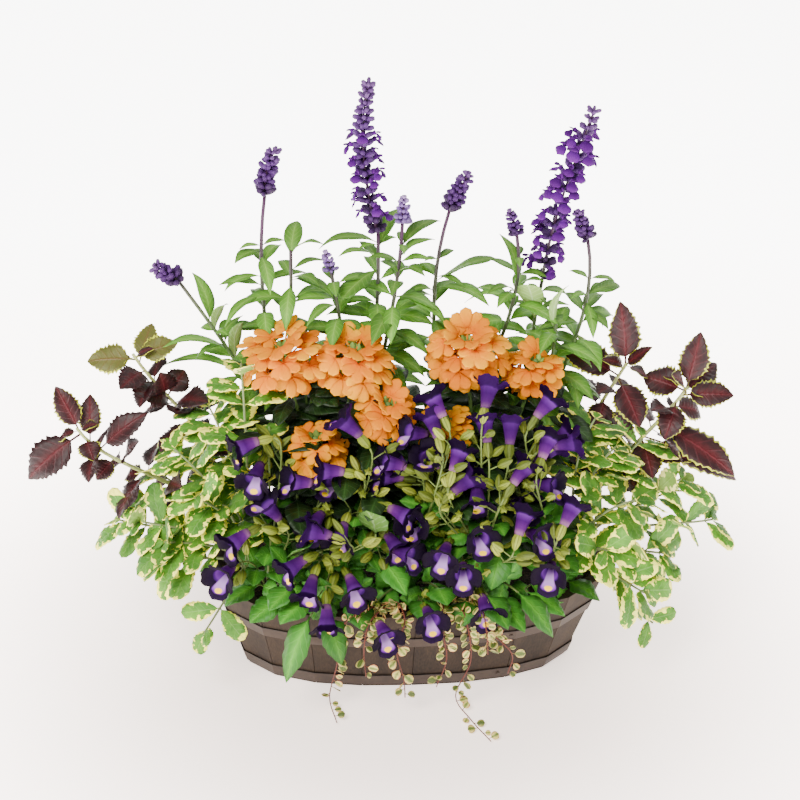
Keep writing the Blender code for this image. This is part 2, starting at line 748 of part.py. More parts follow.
def fan_flower(root, direction, face, reach, limb):
    """A crossandra flower: a tube that opens into a flat fan of five lobes"""
    throat = root + direction * (reach - limb)
    right = direction.cross(face).normalized()
    tilt = Matrix.Rotation(math.radians(-22), 3, right)
    ahead, normal = tilt @ direction, tilt @ face
    outline = [(150, 0.16)]
    for lobe, corners in ((104, (0,)), (52, (14, -14)), (0, (15, -15)), (-52, (14, -14)),
                          (-104, (0,))):
        outline += [(lobe + corner, 0.92 if len(corners) == 1 else 1.0) for corner in corners]
        if lobe != -104:
            outline.append((lobe - 26, 0.66))
    outline.append((-150, 0.16))
    points = []
    for angle, radius in outline:
        turn = math.radians(angle)
        points.append(throat + (ahead * math.cos(turn) - right * math.sin(turn))
                      * (limb * radius) + normal * (0.12 * limb * radius))
    half = BLADE_THICKNESS / 2
    loop = [(root, face)] + [(p, normal) for p in reversed(points)]
    rows = [(throat, normal)] + loop
    verts = [p + n * half for p, n in rows] + [p - n * half for p, n in rows]
    count = len(rows)
    faces = []
    for k in range(1, count):
        a, b = k, k % (count - 1) + 1
        faces += [(0, a, b), (count, b + count, a + count),
                  (a, a + count, b + count), (a, b + count, b)]
    return verts, faces


def bract_spike(foot, axis, length):
    """The green spike of bracts that a head's flowers grow from"""
    return ring_stack([
        circle(foot + axis * (length * share), axis, radius, 6)
        for share, radius in ((0, 0.0022), (0.30, 0.0065), (0.75, 0.0050), (1, 0.0012))])


def head_axis(crown, middle):
    """A head leans out from its plant and a little to the front"""
    out = Vector((middle.x - crown[0], middle.y - crown[1], 0))
    return (UP + out * 3 + Vector((0, -0.20, 0))).normalized()


def crossandra_head(crown, middle, radius):
    """The bract spike, then two tiers of flowers round it"""
    axis = head_axis(crown, middle)
    foot = middle - axis * (HEAD_BELOW - SEAT_GAP)
    shapes = [bract_spike(foot, axis, BRACT_SPIKE)]
    side, other = side_axes(axis)
    around = 6 if radius > 0.036 else 4
    for k in range(around):
        turn = 2 * math.pi * (k + 0.25) / around
        out = side * math.cos(turn) + other * math.sin(turn)
        lift = math.radians(34 if k % 2 else 14)
        direction = out * math.cos(lift) + axis * math.sin(lift)
        face = axis * math.cos(lift) - out * math.sin(lift)
        root = foot + axis * (0.017 if k % 2 else 0.011)
        shapes.append(fan_flower(root, direction, face, radius,
                                 min(CROSSANDRA_LIMB, radius * 0.56)))
    return shapes


def grow_crossandra_stems(bed):
    paths = {}
    for plant, crown, heads in CROSSANDRA_PLANTS:
        grow_crown(bed, plant, crown)
        for name, middle, radius in heads:
            axis = head_axis(crown, Vector(middle))
            paths[name] = grow_stem(bed, plant, crown_point(crown, middle),
                                    Vector(middle) - axis * HEAD_BELOW, axis,
                                    (0.0022, 0.0018))
        for name, middle, radius in heads:
            bed.grow(name, "flower", lambda: crossandra_head(crown, Vector(middle), radius),
                     ((),), resting_on=plant)
    return paths


def grow_crossandra_leaves(bed, paths):
    for plant, _, heads in CROSSANDRA_PLANTS:
        draw = random.Random(plant)
        for name, _, _ in heads:
            grow_pairs(bed, plant, paths[name], (0.60,), draw.uniform(0, 90), 30, 0.062,
                       0.012, LANCE, RIB, 40, draw)


# Torenia: the mass of violet flowers and winged calyxes over the front of the rim

TORENIA_CROWNS = (-0.140, -0.070, 0.000, 0.070, 0.140)
TORENIA_CROWN_Y = -0.055
# Each flower: the middle of its face, then where it looks, as a compass bearing from +X
# towards +Y and a rise, in degrees
TORENIA_FLOWERS = (
    (-0.164, -0.062, 0.265, 200, -15),
    (-0.139, -0.083, 0.219, 190, 55), (-0.116, -0.075, 0.238, 195, 15),
    (-0.172, -0.100, 0.186, 215, -20), (-0.182, -0.112, 0.158, 240, 0),
    (-0.121, -0.112, 0.164, 210, -20), (-0.088, -0.071, 0.246, 185, 5),
    (-0.067, -0.055, 0.290, 160, 40), (-0.102, -0.122, 0.142, 250, -35),
    (-0.085, -0.136, 0.117, 270, -45), (-0.057, -0.122, 0.144, 290, -20),
    (-0.100, -0.100, 0.200, 170, 10), (-0.008, -0.056, 0.277, 200, 20),
    (-0.030, -0.067, 0.252, 190, 20), (-0.008, -0.090, 0.205, 330, -15),
    (0.010, -0.066, 0.256, 250, 50),
    (0.015, -0.045, 0.307, 130, 45), (-0.029, -0.138, 0.104, 290, -10),
    (0.012, -0.136, 0.120, 280, 0), (0.022, -0.108, 0.170, 250, -10),
    (0.040, -0.066, 0.262, 60, 45), (0.050, -0.076, 0.238, 20, 30),
    (0.056, -0.086, 0.216, 270, -40), (0.063, -0.052, 0.286, 100, 55),
    (0.088, -0.053, 0.284, 80, 55), (0.068, -0.040, 0.314, 70, 45),
    (0.042, -0.115, 0.156, 265, 5),
    (0.125, -0.045, 0.302, 30, 40), (0.123, -0.060, 0.270, 60, 40),
    (0.147, -0.062, 0.266, 0, 10), (0.101, -0.072, 0.247, 40, 35),
    (0.100, -0.092, 0.208, 60, 45), (0.116, -0.102, 0.186, 300, 10),
    (0.122, -0.116, 0.154, 255, 0),
    (0.145, -0.088, 0.213, 50, 40),
)
# The large leaves at the front: the foot of the leaf, then its tip
TORENIA_FRONT_LEAVES = (
    ((-0.100, -0.115, 0.115), (-0.133, -0.148, 0.070)),
    ((-0.105, -0.105, 0.125), (-0.128, -0.130, 0.128)),
    ((-0.085, -0.118, 0.118), (-0.066, -0.146, 0.084)),
    ((0.066, -0.110, 0.130), (0.084, -0.142, 0.122)),
    ((0.095, -0.110, 0.132), (0.132, -0.138, 0.110)),
    ((-0.112, -0.090, 0.165), (-0.104, -0.104, 0.196)),
    ((-0.038, -0.085, 0.185), (-0.042, -0.092, 0.225)),
    ((-0.030, -0.095, 0.160), (-0.008, -0.122, 0.148)),
    ((0.080, -0.090, 0.165), (0.066, -0.118, 0.146)),
)
LOBES = 4
STALK_RADIUS = 0.0011
FACE_THICKNESS = 0.0009
THROAT_DEPTH = 0.003
# How far out the notches between the lobes reach
NOTCH = 0.66


def heading(bearing, rise):
    b, r = math.radians(bearing), math.radians(rise)
    return Vector((math.cos(b) * math.cos(r), math.sin(b) * math.cos(r), math.sin(r)))


def torenia_shoot(crown, flower, shift_x, shift_z, turn):
    """One shoot from crown to face: a stalk, a winged calyx, a tube and a face of four
    lobes with the hollow of its throat. Gives the path of the stalk too."""
    x, y, z, bearing, rise = flower
    middle = Vector((x + shift_x, y, z + shift_z))
    look = heading(bearing + turn, rise)
    rim = middle - look * FACE_THICKNESS
    # The tube bows, so the calyx hangs from a steeper stalk than the flower's own line
    bow = (look + UP * 0.25).normalized()
    mouth = middle - look * TORENIA_TUBE * 0.8
    foot = mouth - bow * CALYX_LENGTH * 0.85
    start = crown_point(crown, foot)
    path = bezier(start, start + UP * (foot - start).length * 0.45, foot - bow * 0.02, foot, 3)
    around = 2 * LOBES
    rings = loft(path_sections(path, STALK_RADIUS, STALK_RADIUS, LOBES)
                 + [(foot + bow * CALYX_LENGTH * 0.45, bow, CALYX_RADIUS, LOBES),
                    (mouth, bow, CALYX_RADIUS * 0.55, LOBES),
                    (middle - look * 0.006, look, 0.0045, LOBES),
                    (rim, look, TORENIA_FACE, around)])
    back = rings[-1]
    for k in range(1, around, 2):
        back[k] = rim.lerp(back[k], NOTCH)
    rings.append([corner + look * FACE_THICKNESS for corner in back])
    verts, faces = ring_stack(rings)
    faces.pop(1)
    verts.append(middle - look * THROAT_DEPTH)
    throat = len(verts) - 1
    for k in range(around):
        faces.append((throat - around + k, throat - around + (k + 1) % around, throat))
    return path, [(verts, faces)]


def torenia_node(x):
    """The number of the torenia plant nearest to a place along the tub"""
    nearest = min(TORENIA_CROWNS, key=lambda crown: abs(crown - x))
    return TORENIA_CROWNS.index(nearest)


def grow_torenia_flowers(bed):
    """All torenia shoots, and for each that found room its plant and its stalk"""
    for number, x in enumerate(TORENIA_CROWNS):
        grow_crown(bed, "torenia_%d" % (number + 1), (x, TORENIA_CROWN_Y))
    shoots = []
    for flower in TORENIA_FLOWERS:
        number = torenia_node(flower[0])
        crown = (TORENIA_CROWNS[number], TORENIA_CROWN_Y)
        plant = "torenia_%d" % (number + 1)
        found = bed.grow(plant, "flower",
                         lambda *t: torenia_shoot(crown, flower, *t)[1], FLOWER_TRIES,
                         crossing=(False, True))
        if found:
            shoots.append((plant, torenia_shoot(crown, flower, *found)[0]))
    return shoots


def grow_torenia_leaves(bed, shoots):
    draw = random.Random(7)
    for foot, tip in TORENIA_FRONT_LEAVES:
        foot, tip = Vector(foot), Vector(tip)
        number = torenia_node(foot.x)
        plant = "torenia_%d" % (number + 1)
        start = crown_point((TORENIA_CROWNS[number], TORENIA_CROWN_Y), foot)
        out = (tip - foot).normalized()
        path = grow_stem(bed, plant, start, foot, out, (0.0012, 0.0010), rise=0.35)
        if path:
            side = out.cross(UP).normalized()
            grow_leaf(bed, plant, path[-1] - out * 0.001, out, side.cross(out),
                      (tip - foot).length, 0.015, OVATE, RIB, 25, crossing=(False, True))
    for number, (plant, path) in enumerate(shoots):
        if number % 3 == 0:
            grow_pairs(bed, plant, path, (0.62,), draw.uniform(0, 90), 25, 0.028, 0.0105,
                       OVATE, RIB, 25, draw)
        else:
            # A closed calyx beside the open flower
            point, axis = along(path, 0.86)
            side, other = side_axes(axis)
            turn = draw.uniform(0, 2 * math.pi)
            out = (axis + side * math.cos(turn) + other * math.sin(turn)).normalized()
            bed.grow(plant, "flower",
                     lambda: [spindle(point, out, CALYX_LENGTH, CALYX_RADIUS)], ((),))


# Variegated mint: two mounds at the ends of the tub

# Each plant: name, crown, then the ends of its shoots
MINT_PLANTS = (
    ("mint_left", (-0.156, -0.032), (
        (-0.160, 0.000, 0.322), (-0.192, 0.005, 0.275), (-0.225, -0.015, 0.240),
        (-0.205, -0.055, 0.210), (-0.280, -0.020, 0.165), (-0.240, -0.060, 0.140),
        (-0.200, -0.095, 0.085))),
    ("mint_right", (0.156, -0.032), (
        (0.174, -0.020, 0.268), (0.225, -0.005, 0.235), (0.265, -0.015, 0.195),
        (0.210, -0.060, 0.200), (0.300, -0.020, 0.150), (0.245, -0.055, 0.135),
        (0.235, -0.080, 0.070))),
)
MINT_LEAF = (0.032, 0.0095)


def grow_mint_stems(bed):
    paths = []
    for plant, crown, ends in MINT_PLANTS:
        grow_crown(bed, plant, crown)
        for end in ends:
            end = Vector(end)
            out = Vector((end.x - crown[0], end.y - crown[1], 0))
            arrival = (out.normalized() + UP * max(end.z - 0.13, -0.06) * 8).normalized()
            path = grow_stem(bed, plant, crown_point(crown, end), end, arrival, (0.0016, 0.0010))
            if path:
                paths.append((plant, path))
    return paths


def grow_mint_leaves(bed, paths):
    length, half_width = MINT_LEAF
    for number, (plant, path) in enumerate(paths):
        draw = random.Random(number)
        grow_pairs(bed, plant, path, (0.95, 0.68), draw.uniform(0, 90), 25, length,
                   half_width, SCALLOPED, RIB, 25, draw)


# Coleus: maroon leaves reaching out on both sides

COLEUS_PLANTS = (
    ("coleus_left_upper", (-0.152, 0.034), (-0.262, 0.030, 0.318), (
        (0.312, (-0.304, 0.030, 0.311), 0.014), (0.314, (-0.221, 0.040, 0.324), 0.012),
        (0.308, (-0.246, 0.065, 0.332), 0.010), (0.300, (-0.272, -0.005, 0.300), 0.012),
        (0.275, (-0.236, 0.010, 0.308), 0.012), (0.268, (-0.262, 0.005, 0.292), 0.013),
        (0.272, (-0.216, 0.052, 0.288), 0.012), (0.255, (-0.222, -0.005, 0.272), 0.012))),
    ("coleus_left_lower", (-0.168, 0.004), (-0.316, 0.000, 0.256), (
        (0.250, (-0.364, -0.005, 0.205), 0.016), (0.252, (-0.334, 0.015, 0.292), 0.011),
        (0.244, (-0.300, -0.020, 0.232), 0.010), (0.240, (-0.305, 0.030, 0.275), 0.010),
        (0.232, (-0.250, 0.005, 0.268), 0.012), (0.222, (-0.300, -0.010, 0.205), 0.010),
        (0.205, (-0.275, 0.020, 0.190), 0.009))),
    ("coleus_right_upper", (0.152, 0.034), (0.211, 0.030, 0.300), (
        (0.297, (0.200, 0.035, 0.362), 0.0150), (0.286, (0.152, 0.050, 0.305), 0.0155),
        (0.284, (0.222, 0.000, 0.246), 0.0150), (0.296, (0.230, 0.015, 0.324), 0.0065),
        (0.296, (0.181, 0.010, 0.314), 0.0065), (0.262, (0.182, 0.010, 0.236), 0.012))),
    ("coleus_right_lower", (0.168, 0.004), (0.268, 0.010, 0.284), (
        (0.279, (0.229, 0.030, 0.284), 0.0155), (0.281, (0.277, 0.020, 0.336), 0.013),
        (0.277, (0.243, -0.020, 0.312), 0.011), (0.274, (0.310, 0.000, 0.278), 0.013),
        (0.276, (0.302, 0.040, 0.292), 0.013), (0.268, (0.244, -0.015, 0.240), 0.013),
        (0.262, (0.290, 0.035, 0.240), 0.012), (0.245, (0.316, -0.015, 0.198), 0.015),
        (0.230, (0.328, 0.015, 0.174), 0.013), (0.228, (0.232, -0.030, 0.206), 0.014),
        (0.215, (0.278, -0.010, 0.212), 0.009))),
)


def grow_coleus_stems(bed):
    paths = {}
    for plant, crown, end, _ in COLEUS_PLANTS:
        grow_crown(bed, plant, crown)
        end = Vector(end)
        out = Vector((end.x - crown[0], 0, 0)).normalized()
        paths[plant] = grow_stem(bed, plant, crown_point(crown, end), end,
                                 (out * 0.5 + UP).normalized(), (0.0028, 0.0016), steps=4)
    return paths


def grow_coleus_leaves(bed, paths):
    for plant, _, _, leaves in COLEUS_PLANTS:
        for height, tip, half_width in leaves:
            grow_leaf_to(bed, plant, paths[plant], height, Vector(tip), half_width, TOOTHED,
                         STALK_AND_RIB, droop=25, face=Vector((0, -0.6, 0.8)))


# Wire vine: thin trailers over the front of the rim and along the ground

# Each plant: name, crown, then the routes of its trailers
VINE_PLANTS = (
    ("wire_vine_left", (-0.025, -0.080), (
        ((-0.030, -0.100, 0.112), (-0.045, -0.118, 0.108), (-0.050, -0.122, 0.080),
         (-0.048, -0.124, 0.050)),
        ((-0.018, -0.100, 0.118), (-0.012, -0.122, 0.112), (-0.020, -0.128, 0.085),
         (-0.012, -0.124, 0.045), (-0.010, -0.120, 0.020)),
        ((-0.038, -0.100, 0.114), (-0.070, -0.119, 0.106), (-0.075, -0.116, 0.060),
         (-0.082, -0.106, 0.012), (-0.076, -0.135, 0.004)))),
    ("wire_vine_right", (0.040, -0.080), (
        ((0.040, -0.100, 0.115), (0.046, -0.121, 0.108), (0.052, -0.118, 0.060),
         (0.040, -0.110, 0.012), (0.052, -0.135, 0.0035), (0.068, -0.168, 0.0035)),
        ((0.055, -0.100, 0.112), (0.066, -0.122, 0.100), (0.090, -0.124, 0.072),
         (0.088, -0.120, 0.045)),
        ((0.028, -0.100, 0.118), (0.022, -0.124, 0.108), (0.028, -0.126, 0.070),
         (0.020, -0.118, 0.030)),
        ((0.048, -0.095, 0.122), (0.060, -0.118, 0.122), (0.064, -0.134, 0.100),
         (0.066, -0.132, 0.078)))),
)
VINE_LEAF = (0.0095, 0.0046)
VINE_LEAF_SPACING = 0.028
# The length of a trailer's straight steps
VINE_STEP = 0.030


def smooth_route(points, spacing):
    """A smooth curve through the points, as a point about every spacing"""
    ends = [points[0] * 2 - points[1]] + points + [points[-1] * 2 - points[-2]]
    route = []
    for a, b, c, d in zip(ends, ends[1:], ends[2:], ends[3:]):
        steps = max(1, round((c - b).length / spacing))
        route += bezier(b, b + (c - a) / 6, c - (d - b) / 6, c, steps)[:-1]
    return route + [points[-1]]


def grow_vines(bed):
    trailers = []
    for plant, crown, routes in VINE_PLANTS:
        grow_crown(bed, plant, crown)
        for route in routes:
            points = smooth_route([crown_point(crown, route[0])] + [Vector(p) for p in route],
                                  VINE_STEP)
            bed.grow(plant, "stem", lambda: [tube(points, 0.0009, 0.0007, 3)], ((),),
                     crossing=(True,))
            trailers.append((plant, points))
    return trailers


def grow_vine_leaves(bed, trailers):
    length, half_width = VINE_LEAF
    draw = random.Random(11)
    for plant, points in trailers:
        total = sum((b - a).length for a, b in zip(points, points[1:]))
        count = int(total / VINE_LEAF_SPACING)
        for number in range(1, count + 1):
            point, axis = along(points, number / count * 0.985)
            flat = point.z < 0.012
            side, other = side_axes(axis, UP if flat else Vector((0, -1, 0)))
            out = side * (1 if number % 2 else -1)
            direction = (out + axis * 0.3 + other * (0.15 if flat else 0.4)).normalized()
            face = (other - direction * other.dot(direction)).normalized()
            size = draw.uniform(0.85, 1.1)

            def make(turn, lift, scale):
                d, f = turned(direction, face, turn, lift)
                return [blade(point, d, f, length * size * scale,
                              half_width * size * scale, ROUND, RIB, 8)]
            bed.grow(plant, "leaf", make, LEAF_TRIES)


# The whole planter

# Colour, roughness of each kind of piece
STAVE_LOOK = ((0.075, 0.045, 0.030), 0.7)
BOARD_LOOK = ((0.070, 0.042, 0.028), 0.75)
HOOP_LOOK = ((0.060, 0.036, 0.025), 0.55)
SOIL_LOOK = ((0.022, 0.015, 0.010), 0.95)
PLANT_LOOKS = {
    "salvia": ((0.12, 0.32, 0.07), 0.5),
    "spike": ((0.10, 0.03, 0.30), 0.6),
    "crossandra": ((0.05, 0.16, 0.03), 0.35),
    "crossandra_head": ((0.95, 0.25, 0.04), 0.55),
    "torenia": ((0.09, 0.30, 0.05), 0.5),
    "mint": ((0.20, 0.40, 0.12), 0.6),
    "coleus": ((0.09, 0.01, 0.02), 0.5),
    "wire_vine": ((0.45, 0.42, 0.20), 0.5),
}
# The straps' rivets: which side of the ring, counted from the front, and how far along it
UPPER_RIVETS = ((1, 0.90), (15, 0.5))
LOWER_RIVETS = ((1, 0.80), (9, 0.5))


def add_tub(bed):
    staves = [stave_shape(number) for number in range(STAVES)]
    for number, shape in enumerate(staves):
        add_object("stave_%02d" % (number + 1), *shape, STAVE_LOOK)
    soil_shape = filling(BOARD_THICKNESS + SEAT_GAP, SOIL_TOP)
    add_object("base_board", *filling(0.0, BOARD_THICKNESS), BOARD_LOOK)
    soil = add_object("soil", *soil_shape, SOIL_LOOK)
    combine(soil, crown_holes(), "DIFFERENCE")
    hoops = []
    for name, heights, rivets in (("hoop_upper", UPPER_HOOP, UPPER_RIVETS),
                                  ("hoop_lower", LOWER_HOOP, LOWER_RIVETS)):
        hoops.append(hoop_shape(*heights))
        hoop = add_object(name, *hoops[-1], HOOP_LOOK)
        combine(hoop, rivet_shapes(*heights, rivets), "UNION")
    for shape in staves + hoops + [soil_shape]:
        bed.add("tub", "wood", shape)


def grow_planting(bed):
    """Stems first, then flowers, then leaves, each clear of what is there before it"""
    salvia = grow_salvia_stems(bed)
    crossandra = grow_crossandra_stems(bed)
    coleus = grow_coleus_stems(bed)
    vines = grow_vines(bed)
    mint = grow_mint_stems(bed)
    torenia = grow_torenia_flowers(bed)
    grow_coleus_leaves(bed, coleus)
    grow_salvia_leaves(bed, salvia)
    grow_torenia_leaves(bed, torenia)
    grow_mint_leaves(bed, mint)
    grow_crossandra_leaves(bed, crossandra)
    grow_vine_leaves(bed, vines)


def add_plants(bed):
    """One object for each plant or head, with its shapes fused"""
    names = list(dict.fromkeys(entry[0] for entry in bed.grown if entry[0] != "tub"))
    for name in names:
        kind = max((k for k in PLANT_LOOKS if name.startswith(k)), key=len)
        first, *rest = bed.shapes(name)
        piece = add_object(name, *first, PLANT_LOOKS[kind])
        if rest:
            combine(piece, rest, "UNION", "MANIFOLD", merge_seams=kind not in SEAMS_KEPT)
        shade_round(piece)


def main():
    for old in list(bpy.data.objects):
        bpy.data.objects.remove(old)
    bed = Bed()
    add_tub(bed)
    grow_planting(bed)
    add_plants(bed)


main()
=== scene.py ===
"""Dresses the mixed flower planter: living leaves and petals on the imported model's plants,
and stained wood, straps and soil on its tub."""

import math
import random
from collections import namedtuple

import bmesh
import bpy
from mathutils import Matrix, Vector, noise


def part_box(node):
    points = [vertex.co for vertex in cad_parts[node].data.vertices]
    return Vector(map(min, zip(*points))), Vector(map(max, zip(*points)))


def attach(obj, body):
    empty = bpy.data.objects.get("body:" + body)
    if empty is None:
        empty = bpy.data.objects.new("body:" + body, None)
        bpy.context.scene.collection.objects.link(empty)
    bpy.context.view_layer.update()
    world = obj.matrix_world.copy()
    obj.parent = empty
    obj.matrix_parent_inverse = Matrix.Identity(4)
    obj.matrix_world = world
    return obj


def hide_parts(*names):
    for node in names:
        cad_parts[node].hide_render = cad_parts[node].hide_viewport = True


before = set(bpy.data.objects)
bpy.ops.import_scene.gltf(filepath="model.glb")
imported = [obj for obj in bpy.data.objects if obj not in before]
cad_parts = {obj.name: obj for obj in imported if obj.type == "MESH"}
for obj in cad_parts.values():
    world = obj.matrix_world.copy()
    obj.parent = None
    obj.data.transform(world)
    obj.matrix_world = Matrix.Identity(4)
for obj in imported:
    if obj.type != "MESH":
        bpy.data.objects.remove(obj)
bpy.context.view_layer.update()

UP = Vector((0, 0, 1))
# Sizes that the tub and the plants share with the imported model, in metres
SOIL_TOP = 0.093
CROWN_RADIUS = 0.0045
CROWN_HEIGHT = 0.010
CROWN_DEPTH = 0.020
BLADE_THICKNESS = 0.00035
# Leaves turn their faces up and a little to the front, where the light comes from
LIGHT = Vector((0, -0.45, 0.9)).normalized()


# Colours and materials

def colour(hex_code):
    """An sRGB hex value as the linear colour that shaders use"""
    linear = []
    for i in (0, 2, 4):
        value = int(hex_code[i:i + 2], 16) / 255
        linear.append(value / 12.92 if value <= 0.04045 else ((value + 0.055) / 1.055) ** 2.4)
    return (*linear, 1.0)


def add(tree, kind, *inputs, stops=(), **settings):
    """Adds a node. Each input is a value, a socket, a node whose first output is meant, or
    None where the input stays as it is. Stops are a colour ramp's, as (place, hex value)."""
    node = tree.nodes.new("ShaderNode" + kind)
    for name, value in settings.items():
        setattr(node, name, value)
    for socket, value in zip(node.inputs, inputs):
        if isinstance(value, bpy.types.Node):
            value = value.outputs[0]
        if isinstance(value, bpy.types.NodeSocket):
            tree.links.new(value, socket)
        elif value is not None:
            socket.default_value = value
    if stops:
        elements = node.color_ramp.elements
        while len(elements) < len(stops):
            elements.new(1.0)
        for element, (place, hex_code) in zip(elements, stops):
            element.position = place
            element.color = colour(hex_code)
    return node


def material(name, roughness, specular=0.3):
    """A new material with its tree and its shader"""
    made = bpy.data.materials.new(name)
    made.use_nodes = True
    shader = made.node_tree.nodes["Principled BSDF"]
    shader.inputs["Roughness"].default_value = roughness
    shader.inputs["Specular IOR Level"].default_value = specular
    return made, made.node_tree, shader


def surface(tree, shader, base, shade, strength, depth, height):
    """Gives a shader its colour, darkened by a shade where there is one, and its relief from
    a height: how strong, and how deep in metres"""
    if shade:
        base = add(tree, "MixRGB", 1.0, base, shade, blend_type="MULTIPLY")
    tree.links.new(base.outputs[0], shader.inputs["Base Color"])
    relief = add(tree, "Bump", strength, depth, None, height)
    tree.links.new(relief.outputs[0], shader.inputs["Normal"])


def object_noise(tree, scale, detail):
    """Noise in the object's own space, with a scale in grains to the metre"""
    return add(tree, "TexNoise", add(tree, "TexCoord").outputs["Object"], None, scale, detail)


def leaf_map(tree):
    """Where a point lies on its leaf: its distance from the midrib and its place along it,
    both 0 to 1, its place across from edge to edge, and the leaf's own tone"""
    across, along = add(tree, "SeparateXYZ", add(tree, "UVMap", uv_map="UVMap")).outputs[:2]
    middle = add(tree, "Math", across, 0.5, operation="SUBTRACT")
    out = add(tree, "Math", add(tree, "Math", middle, operation="ABSOLUTE"), 2.0,
              operation="MULTIPLY")
    tone = add(tree, "Attribute", attribute_name="tone").outputs["Fac"]
    return out, along, across, tone


def ribs(tree, out, along, pairs, slope):
    """1 on the side veins of a leaf, 0 between them, and the same for its midrib"""
    slant = add(tree, "Math", along, pairs, operation="MULTIPLY")
    slant = add(tree, "Math", slant, add(tree, "Math", out, slope, operation="MULTIPLY"),
                operation="SUBTRACT")
    side = add(tree, "MapRange", add(tree, "Math", slant, 0.5, operation="PINGPONG"),
               0.0, 0.13, 1.0, 0.0)
    middle = add(tree, "MapRange", out, 0.0, 0.10, 1.0, 0.0)
    return side, middle


def finish_leaf(tree, shader, base, out, along, tone, pairs, slope, vein, vein_share, bump):
    """Adds veins, the leaf's tone and fine mottling to its base colour, and its relief"""
    side, middle = ribs(tree, out, along, pairs, slope)
    veins = add(tree, "Math", add(tree, "Math", side, 0.55, operation="MULTIPLY"), middle,
                operation="MAXIMUM")
    shown = add(tree, "Math", veins, vein_share, operation="MULTIPLY")
    base = add(tree, "MixRGB", shown, base, colour(vein))
    grain = object_noise(tree, 260.0, 3.0)
    shade = add(tree, "Math", add(tree, "Math", tone, 0.62, 0.69, operation="MULTIPLY_ADD"),
                add(tree, "Math", grain, 0.26, -0.13, operation="MULTIPLY_ADD"),
                operation="ADD")
    height = add(tree, "Math", veins, add(tree, "Math", grain, 0.5, operation="MULTIPLY"),
                 operation="SUBTRACT")
    surface(tree, shader, base, shade, bump, 0.0006, height)


def stained_softwood():
    """Softwood boards, planed, stained and weathered: matte taupe with fine upright grain
    and broader streaks, each board in a tone of its own"""
    made, tree, shader = material("stained_softwood", 0.74)
    place = add(tree, "TexCoord").outputs["Object"]
    # Grain lines 1.5 mm apart and 40 mm long, over streaks ten times as wide
    fine = add(tree, "TexNoise", add(tree, "Mapping", place, None, None, (1.0, 1.0, 0.04)),
               None, 650.0, 4.0, 0.6)
    streak = add(tree, "TexNoise", add(tree, "Mapping", place, None, None, (1.0, 1.0, 0.2)),
                 None, 60.0, 3.0)
    tone = add(tree, "Attribute", attribute_name="tone").outputs["Fac"]
    mixed = add(tree, "Math", fine, 0.55, add(tree, "Math", streak, 0.45,
                                              operation="MULTIPLY"),
                operation="MULTIPLY_ADD")
    mixed = add(tree, "Math", tone, 0.16, mixed, operation="MULTIPLY_ADD")
    wood = add(tree, "ValToRGB", mixed, stops=((0.32, "160f0a"), (0.50, "281e15"),
                                               (0.64, "33271b"), (0.82, "403023")))
    surface(tree, shader, wood, None, 0.35, 0.0004, fine)
    return made


def painted_strap():
    """Steel strap in brown paint, dulled outdoors: even and satin, a little blotched, with
    a dark line of painted shadow along its upper edge, for the shade in the gap above it"""
    made, tree, shader = material("painted_steel_strap", 0.5)
    place = add(tree, "TexCoord").outputs["Object"]
    blotch = add(tree, "TexNoise", place, None, 90.0, 4.0)
    paint = add(tree, "ValToRGB", blotch, stops=((0.3, "2b211a"), (0.7, "3b2e25")))
    height = add(tree, "SeparateXYZ", place).outputs[2]
    # The upper edges of the two straps lie 73.5 and 17 mm above the ground
    upper = add(tree, "MapRange", height, 0.0722, 0.0735)
    lower = add(tree, "MapRange", height, 0.0158, 0.0170)
    below = add(tree, "Math", height, 0.03, operation="LESS_THAN")
    # Painted shadow: a dark line just under each strap's upper edge, the lower strap's told
    # apart by its height below 30 mm
    painted_shadow_line = add(tree, "Math", upper, add(tree, "Math", lower, below, operation="MULTIPLY"),
               operation="MAXIMUM")
    painted_shadow_line = add(tree, "Math", painted_shadow_line, 0.75, operation="MULTIPLY")
    # Near black brown for the painted shadow line
    shown = add(tree, "MixRGB", painted_shadow_line, paint, colour("1c1614"))
    surface(tree, shader, shown, None, 0.2, 0.0003, blotch)
    return made


def potting_compost():
    """Peat compost, moist: almost black and crumbly, paler on some of its crumbs"""
    made, tree, shader = material("potting_compost", 0.95)
    crumb = object_noise(tree, 420.0, 5.0)
    bits = add(tree, "TexVoronoi", add(tree, "TexCoord").outputs["Object"], None, 260.0)
    earth = add(tree, "ValToRGB", crumb, stops=((0.3, "15100c"), (0.6, "33271d"),
                                                (0.8, "5a4632")))
    height = add(tree, "Math", crumb, bits, operation="ADD")
    surface(tree, shader, earth, None, 0.9, 0.0020, height)
    return made


def leaf_skin(name, stops, pairs, slope, vein, vein_share, bump, roughness, specular=0.2):
    """A plain leaf: coloured from its midrib out to its edge, with veins"""
    made, tree, shader = material(name, roughness, specular)
    out, along, _, tone = leaf_map(tree)
    base = add(tree, "ValToRGB", out, stops=stops)
    finish_leaf(tree, shader, base, out, along, tone, pairs, slope, vein, vein_share, bump)
    return made


def mint_skin(name, green, dark, cream, roughness):
    """A variegated mint leaf: puckered green, with an uneven cream edge that now and then
    takes up half of the leaf"""
    made, tree, shader = material(name, roughness)
    out, along, _, tone = leaf_map(tree)
    patches = object_noise(tree, 130.0, 2.0)
    base = add(tree, "ValToRGB", object_noise(tree, 75.0, 2.0),
               stops=((0.38, dark), (0.62, green)))
    tip = add(tree, "MapRange", along, 0.72, 0.98, 0.0, 1.0)
    edge = add(tree, "Math", out, tip, operation="MAXIMUM")
    edge = add(tree, "Math", patches, 2.6, edge, operation="MULTIPLY_ADD")
    edge = add(tree, "Math", tone, 0.22, edge, operation="MULTIPLY_ADD")
    shown = add(tree, "MapRange", edge, 2.18, 2.26)
    base = add(tree, "MixRGB", shown, base, colour(cream))
    finish_leaf(tree, shader, base, out, along, tone, 6.0, 1.2, "a0c070", 0.20, 0.6)
    return made


